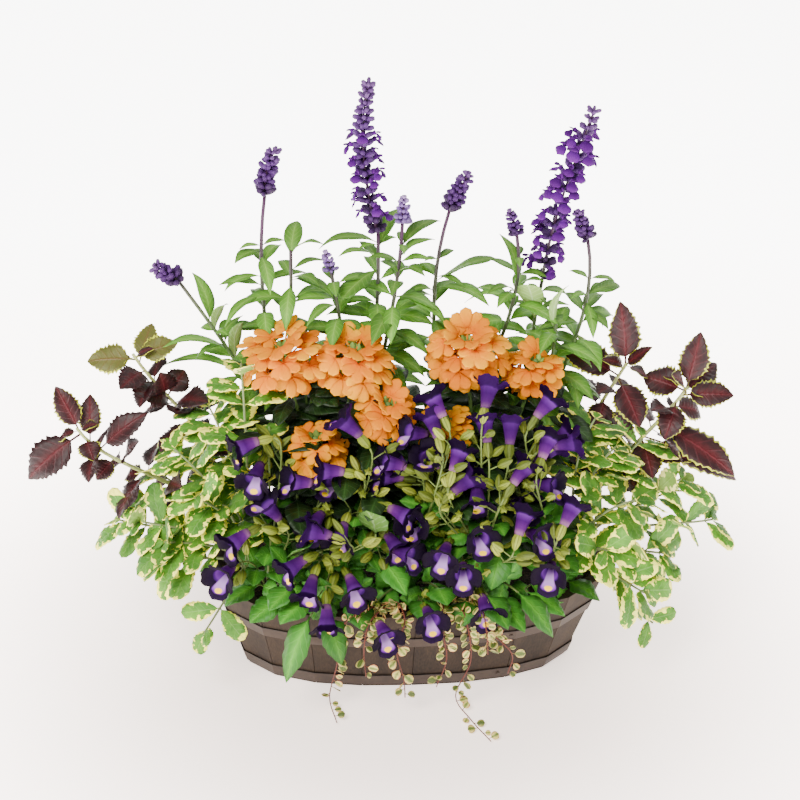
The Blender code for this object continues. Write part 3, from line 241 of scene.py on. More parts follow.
def coleus_skin(name, heart, body, edge, olive, roughness):
    """A coleus leaf: maroon, redder along its midrib. A tone above a third brings a
    yellow-green toothed edge, and one above two thirds turns the whole leaf olive."""
    made, tree, shader = material(name, roughness)
    out, along, _, tone = leaf_map(tree)
    patches = object_noise(tree, 150.0, 3.0)
    base = add(tree, "ValToRGB", add(tree, "Math", patches, 0.5, out, operation="MULTIPLY_ADD"),
               stops=((0.25, heart), (0.75, body)))
    olive_share = add(tree, "MapRange", tone, 0.62, 0.72, 0.0, 0.8)
    base = add(tree, "MixRGB", olive_share, base, colour(olive))
    rim = add(tree, "Math", patches, 0.35, out, operation="MULTIPLY_ADD")
    rim = add(tree, "MapRange", rim, 1.04, 1.10)
    edged = add(tree, "MapRange", tone, 0.33, 0.40)
    rim = add(tree, "Math", rim, edged, operation="MULTIPLY")
    base = add(tree, "MixRGB", rim, base, colour(edge))
    finish_leaf(tree, shader, base, out, along, tone, 7.0, 1.3, "8c3440", 0.17, 0.6)
    return made


def vine_skin(name, green, cream, pink, roughness):
    """A wire vine leaf: dull green in the middle, splashed with cream and blushed pink"""
    made, tree, shader = material(name, roughness)
    out, along, _, tone = leaf_map(tree)
    splash = object_noise(tree, 300.0, 2.0)
    level = add(tree, "Math", splash, 0.8, out, operation="MULTIPLY_ADD")
    level = add(tree, "Math", tone, 0.5, level, operation="MULTIPLY_ADD")
    base = add(tree, "ValToRGB", add(tree, "Math", level, 0.5, operation="MULTIPLY"),
               stops=((0.44, green), (0.55, "8c9448"), (0.66, cream), (0.78, cream),
                      (0.92, pink)))
    finish_leaf(tree, shader, base, out, along, tone, 2.0, 0.8, "8a9a62", 0.2, 0.3)
    return made


def petal_skin(name, stops, dark, roughness):
    """A petal, coloured from its foot to its edge and deeper on some flowers, with fine
    veins that fan out along it"""
    made, tree, shader = material(name, roughness, 0.03)
    _, along, across, tone = leaf_map(tree)
    base = add(tree, "ValToRGB", along, stops=stops)
    base = add(tree, "MixRGB", add(tree, "Math", tone, 0.7, operation="MULTIPLY"), base,
               colour(dark))
    lines = add(tree, "Math", add(tree, "Math", across, 9.0, operation="MULTIPLY"), 0.5,
                operation="PINGPONG")
    grain = object_noise(tree, 300.0, 3.0)
    shade = add(tree, "Math", lines, 0.10, add(tree, "Math", grain, 0.24, 0.83,
                                               operation="MULTIPLY_ADD"),
                operation="MULTIPLY_ADD")
    surface(tree, shader, base, shade, 0.4, 0.0004, lines)
    return made


def ribbed_skin(name, stops, number, rib, share, roughness):
    """A calyx or bud, coloured by its tone, with a number of ribs along it"""
    made, tree, shader = material(name, roughness)
    _, _, across, tone = leaf_map(tree)
    base = add(tree, "ValToRGB", tone, stops=stops)
    line = add(tree, "Math", add(tree, "Math", across, float(number), operation="MULTIPLY"),
               0.5, operation="PINGPONG")
    line = add(tree, "MapRange", line, 0.0, 0.22, share, 0.0)
    base = add(tree, "MixRGB", line, base, colour(rib))
    shade = add(tree, "Math", object_noise(tree, 500.0, 2.0), 0.5, 0.75,
                operation="MULTIPLY_ADD")
    surface(tree, shader, base, shade, 0.5, 0.0005, line)
    return made


def stem_skin(name, low, high, bottom, top, roughness):
    """A stem that goes from one colour to another between two heights"""
    made, tree, shader = material(name, roughness)
    place = add(tree, "TexCoord").outputs["Object"]
    grain = object_noise(tree, 240.0, 3.0)
    height = add(tree, "MapRange", add(tree, "SeparateXYZ", place).outputs[2], bottom, top)
    shown = add(tree, "MixRGB", height, colour(low), colour(high))
    shade = add(tree, "Math", grain, 0.6, 0.7, operation="MULTIPLY_ADD")
    surface(tree, shader, shown, shade, 0.3, 0.0003, grain)
    return made


def corolla_face():
    """The inside of a torenia flower: velvety near-black violet lobes and a lavender lower
    one with a yellow blotch at the mouth of the throat"""
    made, tree, shader = material("torenia_velvet_face", 0.75, 0.1)
    _, along, across, _ = leaf_map(tree)
    # The lower lobe lies in the middle of the map and the upper one at its two sides
    off = add(tree, "Math", add(tree, "Math", across, 0.5, operation="SUBTRACT"),
              operation="ABSOLUTE")
    lobe = add(tree, "MapRange", off, 0.082, 0.110, 1.0, 0.0)
    velvet = add(tree, "ValToRGB", along, stops=((0.38, "6a3490"), (0.45, "3c1260"),
                                                 (0.53, "12031f"), (1.0, "08010e")))
    lip = add(tree, "ValToRGB", along, stops=((0.44, "b890cc"), (0.62, "a46ec4"),
                                              (0.76, "6a2e98"), (0.82, "160424")))
    base = add(tree, "MixRGB", lobe, velvet, lip)
    # The blotch is an ellipse round a place two thirds of the way to the lip's edge
    away = add(tree, "CombineXYZ", add(tree, "Math", off, 19.0, operation="MULTIPLY"),
               add(tree, "Math", along, 10.5, -7.2, operation="MULTIPLY_ADD"))
    away = add(tree, "VectorMath", away, operation="LENGTH").outputs["Value"]
    blotch = add(tree, "MapRange", away, 0.85, 1.1, 1.0, 0.0)
    base = add(tree, "MixRGB", blotch, base, colour("ffd008"))
    tree.links.new(base.outputs[0], shader.inputs["Base Color"])
    return made


STAVE_WOOD = stained_softwood()
STRAP = painted_strap()
COMPOST = potting_compost()
# Salvia: soft, slightly hairy lance leaves, mid green above and greyer below
SALVIA_SKIN = leaf_skin("salvia_leaf", ((0.0, "648f34"), (0.5, "4c7a24"), (1.0, "406c1e")),
                        9.0, 1.6, "94bc58", 0.45, 0.5, 0.50)
SALVIA_BACK = leaf_skin("salvia_leaf_underside", ((0.0, "86a45c"), (1.0, "6e9046")),
                        9.0, 1.6, "b4cc9c", 0.6, 0.6, 0.62)
SALVIA_BARK = stem_skin("salvia_stem", "48642e", "3a1c38", 0.30, 0.43, 0.55)
# Salvia flowers: felted calyxes, nearly black on the oldest and mauve on the youngest
SALVIA_CALYX = ribbed_skin("salvia_calyx", ((0.0, "240a30"), (0.30, "391450"),
                                            (0.65, "44205c"), (1.0, "5a3a6c")),
                           6, "2f1f45", 0.5, 0.7)
SALVIA_PALE = ribbed_skin("salvia_pale_calyx", ((0.0, "5a4474"), (0.5, "705090"),
                                                (1.0, "886e9c")), 6, "4a3864", 0.4, 0.7)
SALVIA_PETAL = petal_skin("salvia_petal", ((0.05, "5e2c7e"), (0.35, "461266"),
                                           (0.95, "60267c")), "300844", 0.5)
SALVIA_PETAL_BACK = petal_skin("salvia_petal_back", ((0.05, "6c3e84"), (0.35, "501c6c"),
                                                     (0.95, "642c7e")), "3a0e50", 0.6)
# Crossandra: hard glossy leaves, nearly black green, under smooth orange petals
CROSSANDRA_SKIN = leaf_skin("crossandra_leaf", ((0.0, "243e18"), (0.4, "182c10"),
                                                (1.0, "12220c")),
                            8.0, 1.4, "36542a", 0.5, 0.7, 0.42)
CROSSANDRA_BACK = leaf_skin("crossandra_leaf_underside", ((0.0, "4f7038"), (1.0, "3a5c28")),
                            8.0, 1.4, "8caf72", 0.5, 0.6, 0.45)
CROSSANDRA_BARK = stem_skin("crossandra_stem", "4a3a26", "5b7a3c", 0.12, 0.24, 0.55)
CROSSANDRA_PETAL = petal_skin("crossandra_petal", ((0.05, "d87404"), (0.30, "e28c06"),
                                                   (0.95, "eaa60c")), "cc5a02", 0.6)
CROSSANDRA_PETAL_BACK = petal_skin("crossandra_petal_back", ((0.05, "dc8408"),
                                                             (0.30, "de8006"),
                                                             (0.95, "e2900a")),
                                   "d06002", 0.65)
CROSSANDRA_BRACT = leaf_skin("crossandra_bract", ((0.0, "8aa94e"), (1.0, "5d7c34")),
                             4.0, 0.6, "a8bf6c", 0.4, 0.4, 0.55)
# Torenia: thin toothed leaves, papery ribbed calyxes and smooth violet tubes
TORENIA_SKIN = leaf_skin("torenia_leaf", ((0.0, "52962c"), (0.4, "357022"), (1.0, "2a5e1a")),
                         6.0, 1.5, "629a3a", 0.35, 0.65, 0.45)
TORENIA_BACK = leaf_skin("torenia_leaf_underside", ((0.0, "648a3e"), (1.0, "4c742e")),
                         6.0, 1.5, "aeca94", 0.5, 0.5, 0.55)
TORENIA_BARK = stem_skin("torenia_stem", "4c5c2c", "66783a", 0.10, 0.22, 0.5)
TORENIA_CALYX = ribbed_skin("torenia_calyx", ((0.0, "525f1a"), (0.5, "6e7c22"),
                                              (1.0, "949e36")), 10, "3e4a18", 0.85, 0.55)
TORENIA_TUBE_SKIN = petal_skin("torenia_tube", ((0.04, "7a5274"), (0.13, "501e64"),
                                                (0.30, "3a0a54"), (0.45, "562878"),
                                                (0.52, "220a38"), (0.58, "0c0216")),
                               "280640", 0.6)
TORENIA_FACE_SKIN = corolla_face()
# Variegated mint: matte, puckered, scalloped leaves with cream edges
MINT_SKIN = mint_skin("mint_leaf", "528822", "3a6c1c", "f4f062", 0.6)
MINT_BACK = mint_skin("mint_leaf_underside", "84a254", "6e9040", "e8e488", 0.68)
MINT_BARK = stem_skin("mint_stem", "646e48", "7c8c5c", 0.10, 0.25, 0.6)
# Coleus: velvety, coarsely toothed maroon leaves
COLEUS_SKIN = coleus_skin("coleus_leaf", "460f13", "260c0f", "b2b832", "50541e", 0.5)
COLEUS_BACK = coleus_skin("coleus_leaf_underside", "40181e", "301218", "86842e", "565a26",
                          0.6)
COLEUS_BARK = stem_skin("coleus_stem", "7a8a4c", "a2a868", 0.12, 0.28, 0.5)
# Wire vine: small round leaves, splashed with cream and pink, on red-brown wiry stems
VINE_SKIN = vine_skin("wire_vine_leaf", "4c5e24", "c4b468", "b4684a", 0.5)
VINE_BACK = vine_skin("wire_vine_leaf_underside", "6a7440", "ccbc80", "b87458", 0.6)
VINE_BARK = stem_skin("wire_vine_stem", "542018", "622c20", 0.0, 0.1, 0.45)


# How leaves, petals and stalks are shaped

# A leaf's outline and relief: faces across and along; where it swells and tapers; its
# stalk as a share of the length; teeth on each side and their depth; then how far it is
# folded along the midrib, curls down at the edges, waves and puffs up between its veins
LeafForm = namedtuple("LeafForm",
                      "columns rows swell taper stalk teeth tooth fold curl wave puff")
SALVIA_LEAF_FORM = LeafForm(4, 12, 0.95, 1.25, 0.10, 0, 0.0, 0.26, 0.10, 0.10, 0.0)
SPOON_LEAF_FORM = LeafForm(4, 12, 1.10, 0.60, 0.06, 0, 0.0, 0.14, 0.10, 0.08, 0.0)
CROSSANDRA_LEAF_FORM = LeafForm(4, 12, 0.90, 0.80, 0.10, 0, 0.0, 0.28, 0.16, 0.12, 0.03)
TORENIA_LEAF_FORM = LeafForm(4, 12, 0.50, 1.00, 0.14, 6, 0.16, 0.20, 0.14, 0.10, 0.05)
MINT_LEAF_FORM = LeafForm(4, 16, 0.62, 0.46, 0.08, 8, 0.20, 0.14, 0.16, 0.12, 0.06)
COLEUS_LEAF_FORM = LeafForm(6, 30, 0.60, 0.95, 0.18, 10, 0.26, 0.22, 0.14, 0.16, 0.05)
VINE_LEAF_FORM = LeafForm(4, 8, 0.50, 0.46, 0.28, 0, 0.0, 0.12, 0.22, 0.08, 0.0)
PETAL_FORM = LeafForm(4, 8, 0.85, 0.42, 0.0, 0, 0.0, 0.03, 0.08, 0.05, 0.0)
LIP_FORM = LeafForm(4, 6, 0.60, 0.36, 0.0, 0, 0.0, 0.06, 0.34, 0.10, 0.0)
BRACT_FORM = LeafForm(4, 5, 0.60, 0.90, 0.0, 0, 0.0, 0.35, 0.30, 0.0, 0.0)
# The width of a leaf's stalk and of its very tip, as shares of its greatest width
STALK_WIDE = 0.07
TIP_WIDE = 0.012
# The stem above which no leaf can be placed by its height, as a share of the stem's length
STEM_TOP = 0.97
# How far a leaf's foot stands off the middle of its stem
FOOT_OFF = 0.0003


def width(form, along):
    """A leaf's half width at a place along it, as a share of its greatest"""
    blade = (along - form.stalk) / (1 - form.stalk)
    if blade <= 0:
        return STALK_WIDE
    peak = form.swell / (form.swell + form.taper)
    top = peak ** form.swell * (1 - peak) ** form.taper
    share = blade ** form.swell * max(1 - blade, 0) ** form.taper / top
    return max(share, STALK_WIDE * (1 - along)) + TIP_WIDE


def saw(form, along):
    """0 at the foot of a tooth and 1 at its point, which looks towards the leaf's tip"""
    blade = (along - form.stalk) / (1 - form.stalk)
    if blade <= 0 or not form.teeth:
        return 0.0
    step = blade * form.teeth % 1.0
    return step / 0.7 if step < 0.7 else (1 - step) / 0.3


def around(side, other, turn):
    """The direction at a turn round an axis, from the two axes square to it"""
    return side * math.cos(turn) + other * math.sin(turn)


def raised(out, axis, rise):
    """The direction raised from out towards the axis, and the one square to it"""
    return (out * math.cos(rise) + axis * math.sin(rise),
            axis * math.cos(rise) - out * math.sin(rise))


def steps_between(start, end, steps):
    """Evenly spaced points on a straight line"""
    return [start.lerp(end, k / steps) for k in range(steps + 1)]


def object_from(mesh, name, looks):
    """A new object in the scene from a mesh in the making, which it uses up"""
    made = bpy.data.objects.new(name, bpy.data.meshes.new(name))
    mesh.to_mesh(made.data)
    mesh.free()
    for look in looks:
        made.data.materials.append(look)
    bpy.context.scene.collection.objects.link(made)
    return made


def hand_over(piece, node):
    """Puts a piece on the root body and hides the node that it stands for, if it has one"""
    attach(piece, "root")
    if node:
        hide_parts(node)


class Growth:
    """A piece in the making: thin blades, which get their thickness at the end, and round
    stalks. Each keeps a map of where a point lies on its own leaf, stalk or flower, and a
    tone that sets one leaf off from the next. A blade's underside takes the look that
    follows its own in the list of looks."""

    def __init__(self, seed, *looks):
        self.draw = random.Random(seed)
        self.looks = looks
        self.thin, self.round = bmesh.new(), bmesh.new()
        for mesh in (self.thin, self.round):
            mesh.loops.layers.uv.new("UVMap")
            mesh.verts.layers.float.new("tone")

    def sheet(self, mesh, columns, rows, place, look, tone):
        """A grid of faces whose corners go where the place says, given how far across, -1
        to 1, and how far along, 0 to 1, they are"""
        made = bmesh.ops.create_grid(mesh, x_segments=columns, y_segments=rows, size=1,
                                     calc_uvs=True)["verts"]
        layer = mesh.verts.layers.float["tone"]
        for vert in made:
            vert.co = place(vert.co.x, (vert.co.y + 1) / 2)
            vert[layer] = tone
        number = self.looks.index(look)
        for face in {face for vert in made for face in vert.link_faces}:
            face.material_index = number
            face.smooth = True

    def leaf(self, form, root, direction, face, length, half_width, droop, look, tone=None):
        """A leaf, petal or bract that bends down through the droop, in degrees"""
        right = direction.cross(face).normalized()
        bend = math.radians(droop) or 1e-3
        phase = self.draw.uniform(0, 6.3)
        twist = self.draw.uniform(-0.25, 0.25)

        def place(across, along):
            angle = bend * along
            spine = root + direction * (length * math.sin(angle) / bend)
            spine -= face * (length * (1 - math.cos(angle)) / bend)
            normal = face * math.cos(angle) + direction * math.sin(angle)
            reach = half_width * width(form, along)
            edge = abs(across) ** 3
            out = across * reach * (1 + form.tooth * (saw(form, along) - 0.6) * edge)
            lift = abs(out) * form.fold - reach * form.curl * across * across
            lift += reach * form.wave * across * across * math.sin(phase + along * 9)
            lift += out * twist * along
            if form.puff and form.teeth:
                vein = along * form.teeth - abs(across) * 1.1
                lift += reach * form.puff * math.cos(vein * 2 * math.pi) * (1 - edge)
            return spine + right * out + normal * lift
        self.sheet(self.thin, form.columns, form.rows, place, look,
                   self.draw.random() if tone is None else tone)

    def wrap(self, around_it, rings, look, tone=None):
        """A skin of so many faces around through rings, each a function from a turn to a
        point"""
        def place(across, along):
            return rings[round(along * (len(rings) - 1))]((across + 1) * math.pi)
        self.sheet(self.round, around_it, len(rings) - 1, place, look,
                   self.draw.random() if tone is None else tone)

    def stalk(self, points, radii, look, sides=6, tone=None):
        """A round stalk along the points, closed at both ends. Radii are those at its two
        ends, or a function from a share of its length to a radius."""
        rings = [lambda turn: points[0]]
        side = side_axes(heading_at(points, 0))[0]
        for i, point in enumerate(points):
            axis = heading_at(points, i)
            side = (side - axis * side.dot(axis)).normalized()
            share = i / (len(points) - 1)
            radius = (radii(share) if callable(radii) else
                      radii[0] + (radii[1] - radii[0]) * share)
            rings.append(lambda turn, point=point, side=side, other=axis.cross(side),
                         radius=radius: point + around(side, other, turn) * radius)
        rings.append(lambda turn: points[-1])
        self.wrap(sides, rings, look, tone)

    def done(self, name, node, thickness=BLADE_THICKNESS):
        """Gives the blades their thickness, joins all and hands the piece over"""
        for mesh in (self.thin, self.round):
            bmesh.ops.remove_doubles(mesh, verts=mesh.verts, dist=2e-7)
        sheet = object_from(self.thin, name + "_sheet", self.looks)
        shell = sheet.modifiers.new("thickness", "SOLIDIFY")
        shell.thickness = thickness
        shell.offset = -1
        shell.material_offset = 1
        evaluated = sheet.evaluated_get(bpy.context.evaluated_depsgraph_get())
        solid = bpy.data.meshes.new_from_object(evaluated)
        self.round.from_mesh(solid)
        flat = sheet.data
        bpy.data.objects.remove(sheet)
        for spent in (solid, flat):
            bpy.data.meshes.remove(spent)
        hand_over(object_from(self.round, name, self.looks), node)


def bezier(a, b, c, d, steps):
    """Points along a cubic curve from a to d"""
    points = []
    for i in range(steps + 1):
        t = i / steps
        s = 1 - t
        points.append(a * s ** 3 + b * 3 * s * s * t + c * 3 * s * t * t + d * t ** 3)
    return points


def heading_at(points, number):
    """The direction of a path at one of its points"""
    return (points[min(number + 1, len(points) - 1)] - points[max(number - 1, 0)]).normalized()


def side_axes(direction, hint=UP):
    """Two unit vectors square to a direction and to each other, the second nearest the hint"""
    side = direction.cross(hint)
    if side.length < 1e-4:
        side = direction.cross(Vector((0, 1, 0)))
    side.normalize()
    return side, side.cross(direction).normalized()


def along(points, share):
    """The point and the direction at a share of a path's length"""
    spans = [(b - a).length for a, b in zip(points, points[1:])]
    left = share * sum(spans)
    for a, b, span in zip(points, points[1:], spans):
        if left <= span or b is points[-1]:
            return a.lerp(b, min(left / span, 1)), (b - a).normalized()
        left -= span


def share_at_height(points, height):
    """The share of a path's length at which it first reaches a height"""
    spans = [(b - a).length for a, b in zip(points, points[1:])]
    gone = 0
    for a, b, span in zip(points, points[1:], spans):
        if a.z <= height <= b.z:
            return (gone + span * (height - a.z) / (b.z - a.z)) / sum(spans)
        gone += span
    return STEM_TOP


def crown_point(place, end):
    """Where the stem to an end leaves the crown, on the side nearest that end"""
    out = Vector((end[0] - place[0], end[1] - place[1], 0)).normalized()
    return Vector((*place, SOIL_TOP + CROWN_HEIGHT * 0.5)) + out * CROWN_RADIUS * 0.55


def stem_path(start, end, arrival, rise=0.45, steps=16):
    """A stem that leaves its start upwards and reaches its end along the arrival"""
    span = (end - start).length
    return bezier(start, start + UP * span * rise, end - arrival * span * 0.30, end, steps)


def crown_foot(growth, place, look):
    """The short woody foot of a plant, standing in the soil"""
    foot = Vector((*place, SOIL_TOP - CROWN_DEPTH * 0.5))
    points = steps_between(foot, Vector((*place, SOIL_TOP + CROWN_HEIGHT)), 4)
    growth.stalk(points, (CROWN_RADIUS * 0.9, CROWN_RADIUS * 0.5), look, 8)


def leaf_to(growth, form, path, height, tip, half_width, droop, face=UP, tone=None):
    """A leaf from its stem at a height to a tip, in the plant's first look"""
    root, _ = along(path, share_at_height(path, height))
    reach = tip - root
    chord = reach.normalized()
    side = chord.cross(face).normalized()
    # The chord leaves the root at half of the whole droop
    direction = Matrix.Rotation(math.radians(droop / 2), 3, side) @ chord
    normal = side.cross(direction).normalized()
    growth.leaf(form, root, direction, normal, reach.length * 1.04, half_width, droop,
                growth.looks[0], tone)


def leaf_pair(growth, draw, form, path, share, turn, lean, size, droop, seek=0.0, tone=None):
    """Two leaves opposite each other on a stem, at a share of its length, in the plant's
    first look. Their size is a length and a half width, and the more they seek the light,
    the flatter they lie."""
    point, axis = along(path, share)
    side, other = side_axes(axis, Vector((0, -1, 0.3)))
    for half_turn in (0, 180):
        angle = math.radians(turn + half_turn + draw.uniform(-12, 12))
        out = around(side, other, angle)
        direction, face = raised(out, axis, math.radians(lean + draw.uniform(-8, 8)))
        direction.z *= 1 - 0.7 * seek
        direction = (direction + axis * (0.3 * seek)).normalized()
        face = face.lerp(LIGHT, seek)
        face = (face - direction * face.dot(direction)).normalized()
        scale = draw.uniform(0.85, 1.1)
        growth.leaf(form, point + out * FOOT_OFF, direction, face, size[0] * scale,
                    size[1] * scale, droop, growth.looks[0], tone)


# The planting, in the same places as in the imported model, in metres

# Each plant: name, crown, then its stems as (end, leaves as (height on stem, tip))
SALVIA_PLANTS = (
    ("salvia_left", (-0.120, 0.056), (
        ((-0.215, 0.040, 0.386),
         ((0.345, (-0.205, 0.055, 0.392)), (0.335, (-0.170, 0.025, 0.372)),
          (0.325, (-0.164, 0.060, 0.338)), (0.310, (-0.235, 0.020, 0.330)),
          (0.300, (-0.157, 0.030, 0.352)), (0.285, (-0.240, 0.060, 0.290)))),
        ((-0.135, 0.055, 0.466),
         ((0.410, (-0.165, 0.040, 0.405)), (0.405, (-0.131, 0.010, 0.385)),
          (0.395, (-0.120, 0.095, 0.400)), (0.385, (-0.176, 0.050, 0.372)),
          (0.365, (-0.176, 0.020, 0.348)), (0.350, (-0.150, 0.110, 0.345)))),
        ((-0.112, 0.045, 0.415),
         ((0.412, (-0.080, 0.030, 0.428)), (0.408, (-0.105, 0.085, 0.430)),
          (0.395, (-0.070, 0.060, 0.395)), (0.385, (-0.072, 0.015, 0.380)),
          (0.380, (-0.118, 0.005, 0.350)), (0.365, (-0.056, 0.050, 0.362)))))),
    ("salvia_mid_left", (-0.045, 0.055), (
        ((-0.031, 0.045, 0.431),
         ((0.422, (-0.088, 0.055, 0.412)), (0.415, (-0.005, 0.090, 0.440)),
          (0.405, (-0.070, 0.020, 0.420)), (0.395, (-0.065, 0.010, 0.382)),
          (0.385, (-0.040, 0.105, 0.380)), (0.360, (-0.075, 0.060, 0.345)))),
        ((-0.010, 0.025, 0.449),
         ((0.425, (0.030, 0.060, 0.438)), (0.415, (0.022, 0.030, 0.432)),
          (0.400, (0.010, -0.005, 0.410)), (0.375, (0.034, 0.005, 0.352)),
          (0.365, (-0.022, -0.015, 0.345)))),
        ((-0.075, 0.030, 0.400),
         ((0.365, (-0.100, -0.005, 0.360)), (0.350, (-0.045, 0.010, 0.340)))))),
    ("salvia_mid_right", (0.040, 0.055), (
        ((0.036, 0.060, 0.446),
         ((0.380, (0.012, 0.085, 0.384)), (0.375, (0.078, 0.045, 0.405)),
          (0.368, (0.076, 0.030, 0.362)), (0.365, (-0.004, 0.050, 0.368)),
          (0.350, (0.045, 0.110, 0.350)), (0.335, (0.030, 0.005, 0.320)))),
        ((0.099, 0.045, 0.427),
         ((0.375, (0.084, 0.062, 0.425)), (0.370, (0.070, 0.025, 0.378)),
          (0.362, (0.052, 0.060, 0.352)), (0.372, (0.126, 0.030, 0.388)),
          (0.345, (0.105, 0.095, 0.340)))))),
    ("salvia_right", (0.118, 0.056), (
        ((0.127, 0.055, 0.377),
         ((0.335, (0.108, 0.025, 0.386)), (0.365, (0.155, 0.060, 0.358)),
          (0.350, (0.100, 0.090, 0.350)), (0.310, (0.165, 0.085, 0.310)))),
        ((0.165, 0.040, 0.425),
         ((0.368, (0.200, 0.050, 0.374)), (0.352, (0.186, 0.035, 0.336)),
          (0.360, (0.172, 0.010, 0.335)), (0.345, (0.195, 0.090, 0.345)),
          (0.325, (0.170, 0.050, 0.300)))),
        ((0.138, 0.025, 0.345),
         ((0.335, (0.146, 0.015, 0.392)), (0.322, (0.172, 0.000, 0.310)),
          (0.318, (0.108, 0.010, 0.300)))))),
)
# The tips of the broad, spoon-shaped salvia leaves
SPOON_LEAVES = ((0.108, 0.025, 0.386), (0.078, 0.045, 0.405), (0.200, 0.050, 0.374),
                (-0.065, 0.010, 0.382))
# How a spike grows: the metres between its whorls, how they crowd towards its tip, how much
# it narrows, how wide its whorls are, a closed floret's length as a share of that and at
# most, how far up its florets open, how many may be open in a whorl, and their reach
SpikeHabit = namedtuple("SpikeHabit",
                        "spacing crowding narrowing wide bud longest open_to open reach")
TALL = SpikeHabit(0.0082, 1.25, 0.50, 1.0, 0.80, 0.0108, 0.66, (1, 2, 3), (0.98, 1.22))
LOOSE = TALL._replace(spacing=0.0106, open_to=0.86, open=(2, 3, 4), reach=(1.05, 1.4))
SMALL = SpikeHabit(0.0054, 1.0, 0.46, 1.08, 1.2, 0.0112, 0, (), ())
# Each spike: name, foot, tip, widest radius, how far it bows out to the left, and its habit
SPIKES = (
    ("spike_tall_left", (-0.031, 0.045, 0.431), (-0.041, 0.045, 0.575), 0.018, 0.012, TALL),
    ("spike_tall_right", (0.127, 0.055, 0.377), (0.165, 0.055, 0.546), 0.019, 0.004, LOOSE),
    ("spike_left", (-0.135, 0.055, 0.466), (-0.125, 0.055, 0.510), 0.010, 0.003, SMALL),
    ("spike_nodding", (-0.215, 0.040, 0.386), (-0.237, 0.040, 0.404), 0.010, 0, SMALL),
    ("spike_right", (0.036, 0.060, 0.446), (0.053, 0.060, 0.484), 0.009, 0, SMALL),
    ("spike_pale_front", (-0.010, 0.025, 0.449), (-0.009, 0.025, 0.474), 0.007, 0, SMALL),
    ("spike_pale_left", (-0.075, 0.030, 0.400), (-0.080, 0.030, 0.419), 0.006, 0, SMALL),
    ("spike_small", (0.099, 0.045, 0.427), (0.091, 0.045, 0.452), 0.007, 0, SMALL),
    ("spike_small_right", (0.165, 0.040, 0.425), (0.154, 0.040, 0.453), 0.008, 0, SMALL),
)


def spike_arrival(foot):
    """The direction in which a stem reaches a spike's foot, or straight up with no spike"""
    for _, spike_foot, tip, *_ in SPIKES:
        if spike_foot == foot:
            lean = (Vector(tip) - Vector(foot)).normalized()
            return (lean + UP * 0.6).normalized()
    return UP


# Each plant: name, crown, its heads as (name, middle of the head, radius), and the ends of
# the stems that bear leaves alone
CROSSANDRA_PLANTS = (
    ("crossandra_left", (-0.075, 0.005), (
        ("crossandra_head_1", (-0.121, 0.002, 0.333), 0.044),
        ("crossandra_head_2", (-0.055, 0.000, 0.330), 0.042),
        ("crossandra_head_3", (-0.025, -0.028, 0.288), 0.034),
        ("crossandra_head_4", (-0.092, -0.035, 0.257), 0.032)),
     ((-0.135, -0.020, 0.265), (-0.060, -0.030, 0.225), (-0.100, 0.020, 0.285),
      (-0.030, 0.010, 0.265), (-0.110, -0.045, 0.205), (-0.030, -0.045, 0.215),
      (-0.075, 0.035, 0.290), (-0.038, 0.040, 0.272), (-0.125, 0.030, 0.262),
      (-0.090, 0.010, 0.225), (-0.016, 0.018, 0.282), (-0.072, 0.020, 0.246))),
    ("crossandra_right", (0.075, 0.005), (
        ("crossandra_head_5", (0.051, 0.000, 0.337), 0.042),
        ("crossandra_head_6", (0.116, 0.000, 0.316), 0.034),
        ("crossandra_head_7", (0.030, -0.026, 0.266), 0.030)),
     ((0.020, 0.000, 0.265), (0.090, -0.030, 0.250), (0.130, 0.000, 0.265),
      (0.060, -0.030, 0.225), (0.110, -0.045, 0.205), (0.030, -0.045, 0.210),
      (0.045, 0.035, 0.290), (0.085, 0.040, 0.280), (0.130, 0.030, 0.256),
      (0.000, 0.025, 0.255), (0.000, -0.005, 0.245), (0.146, 0.020, 0.264))),
)

TORENIA_CROWNS = (-0.140, -0.070, 0.000, 0.070, 0.140)
TORENIA_CROWN_Y = -0.055
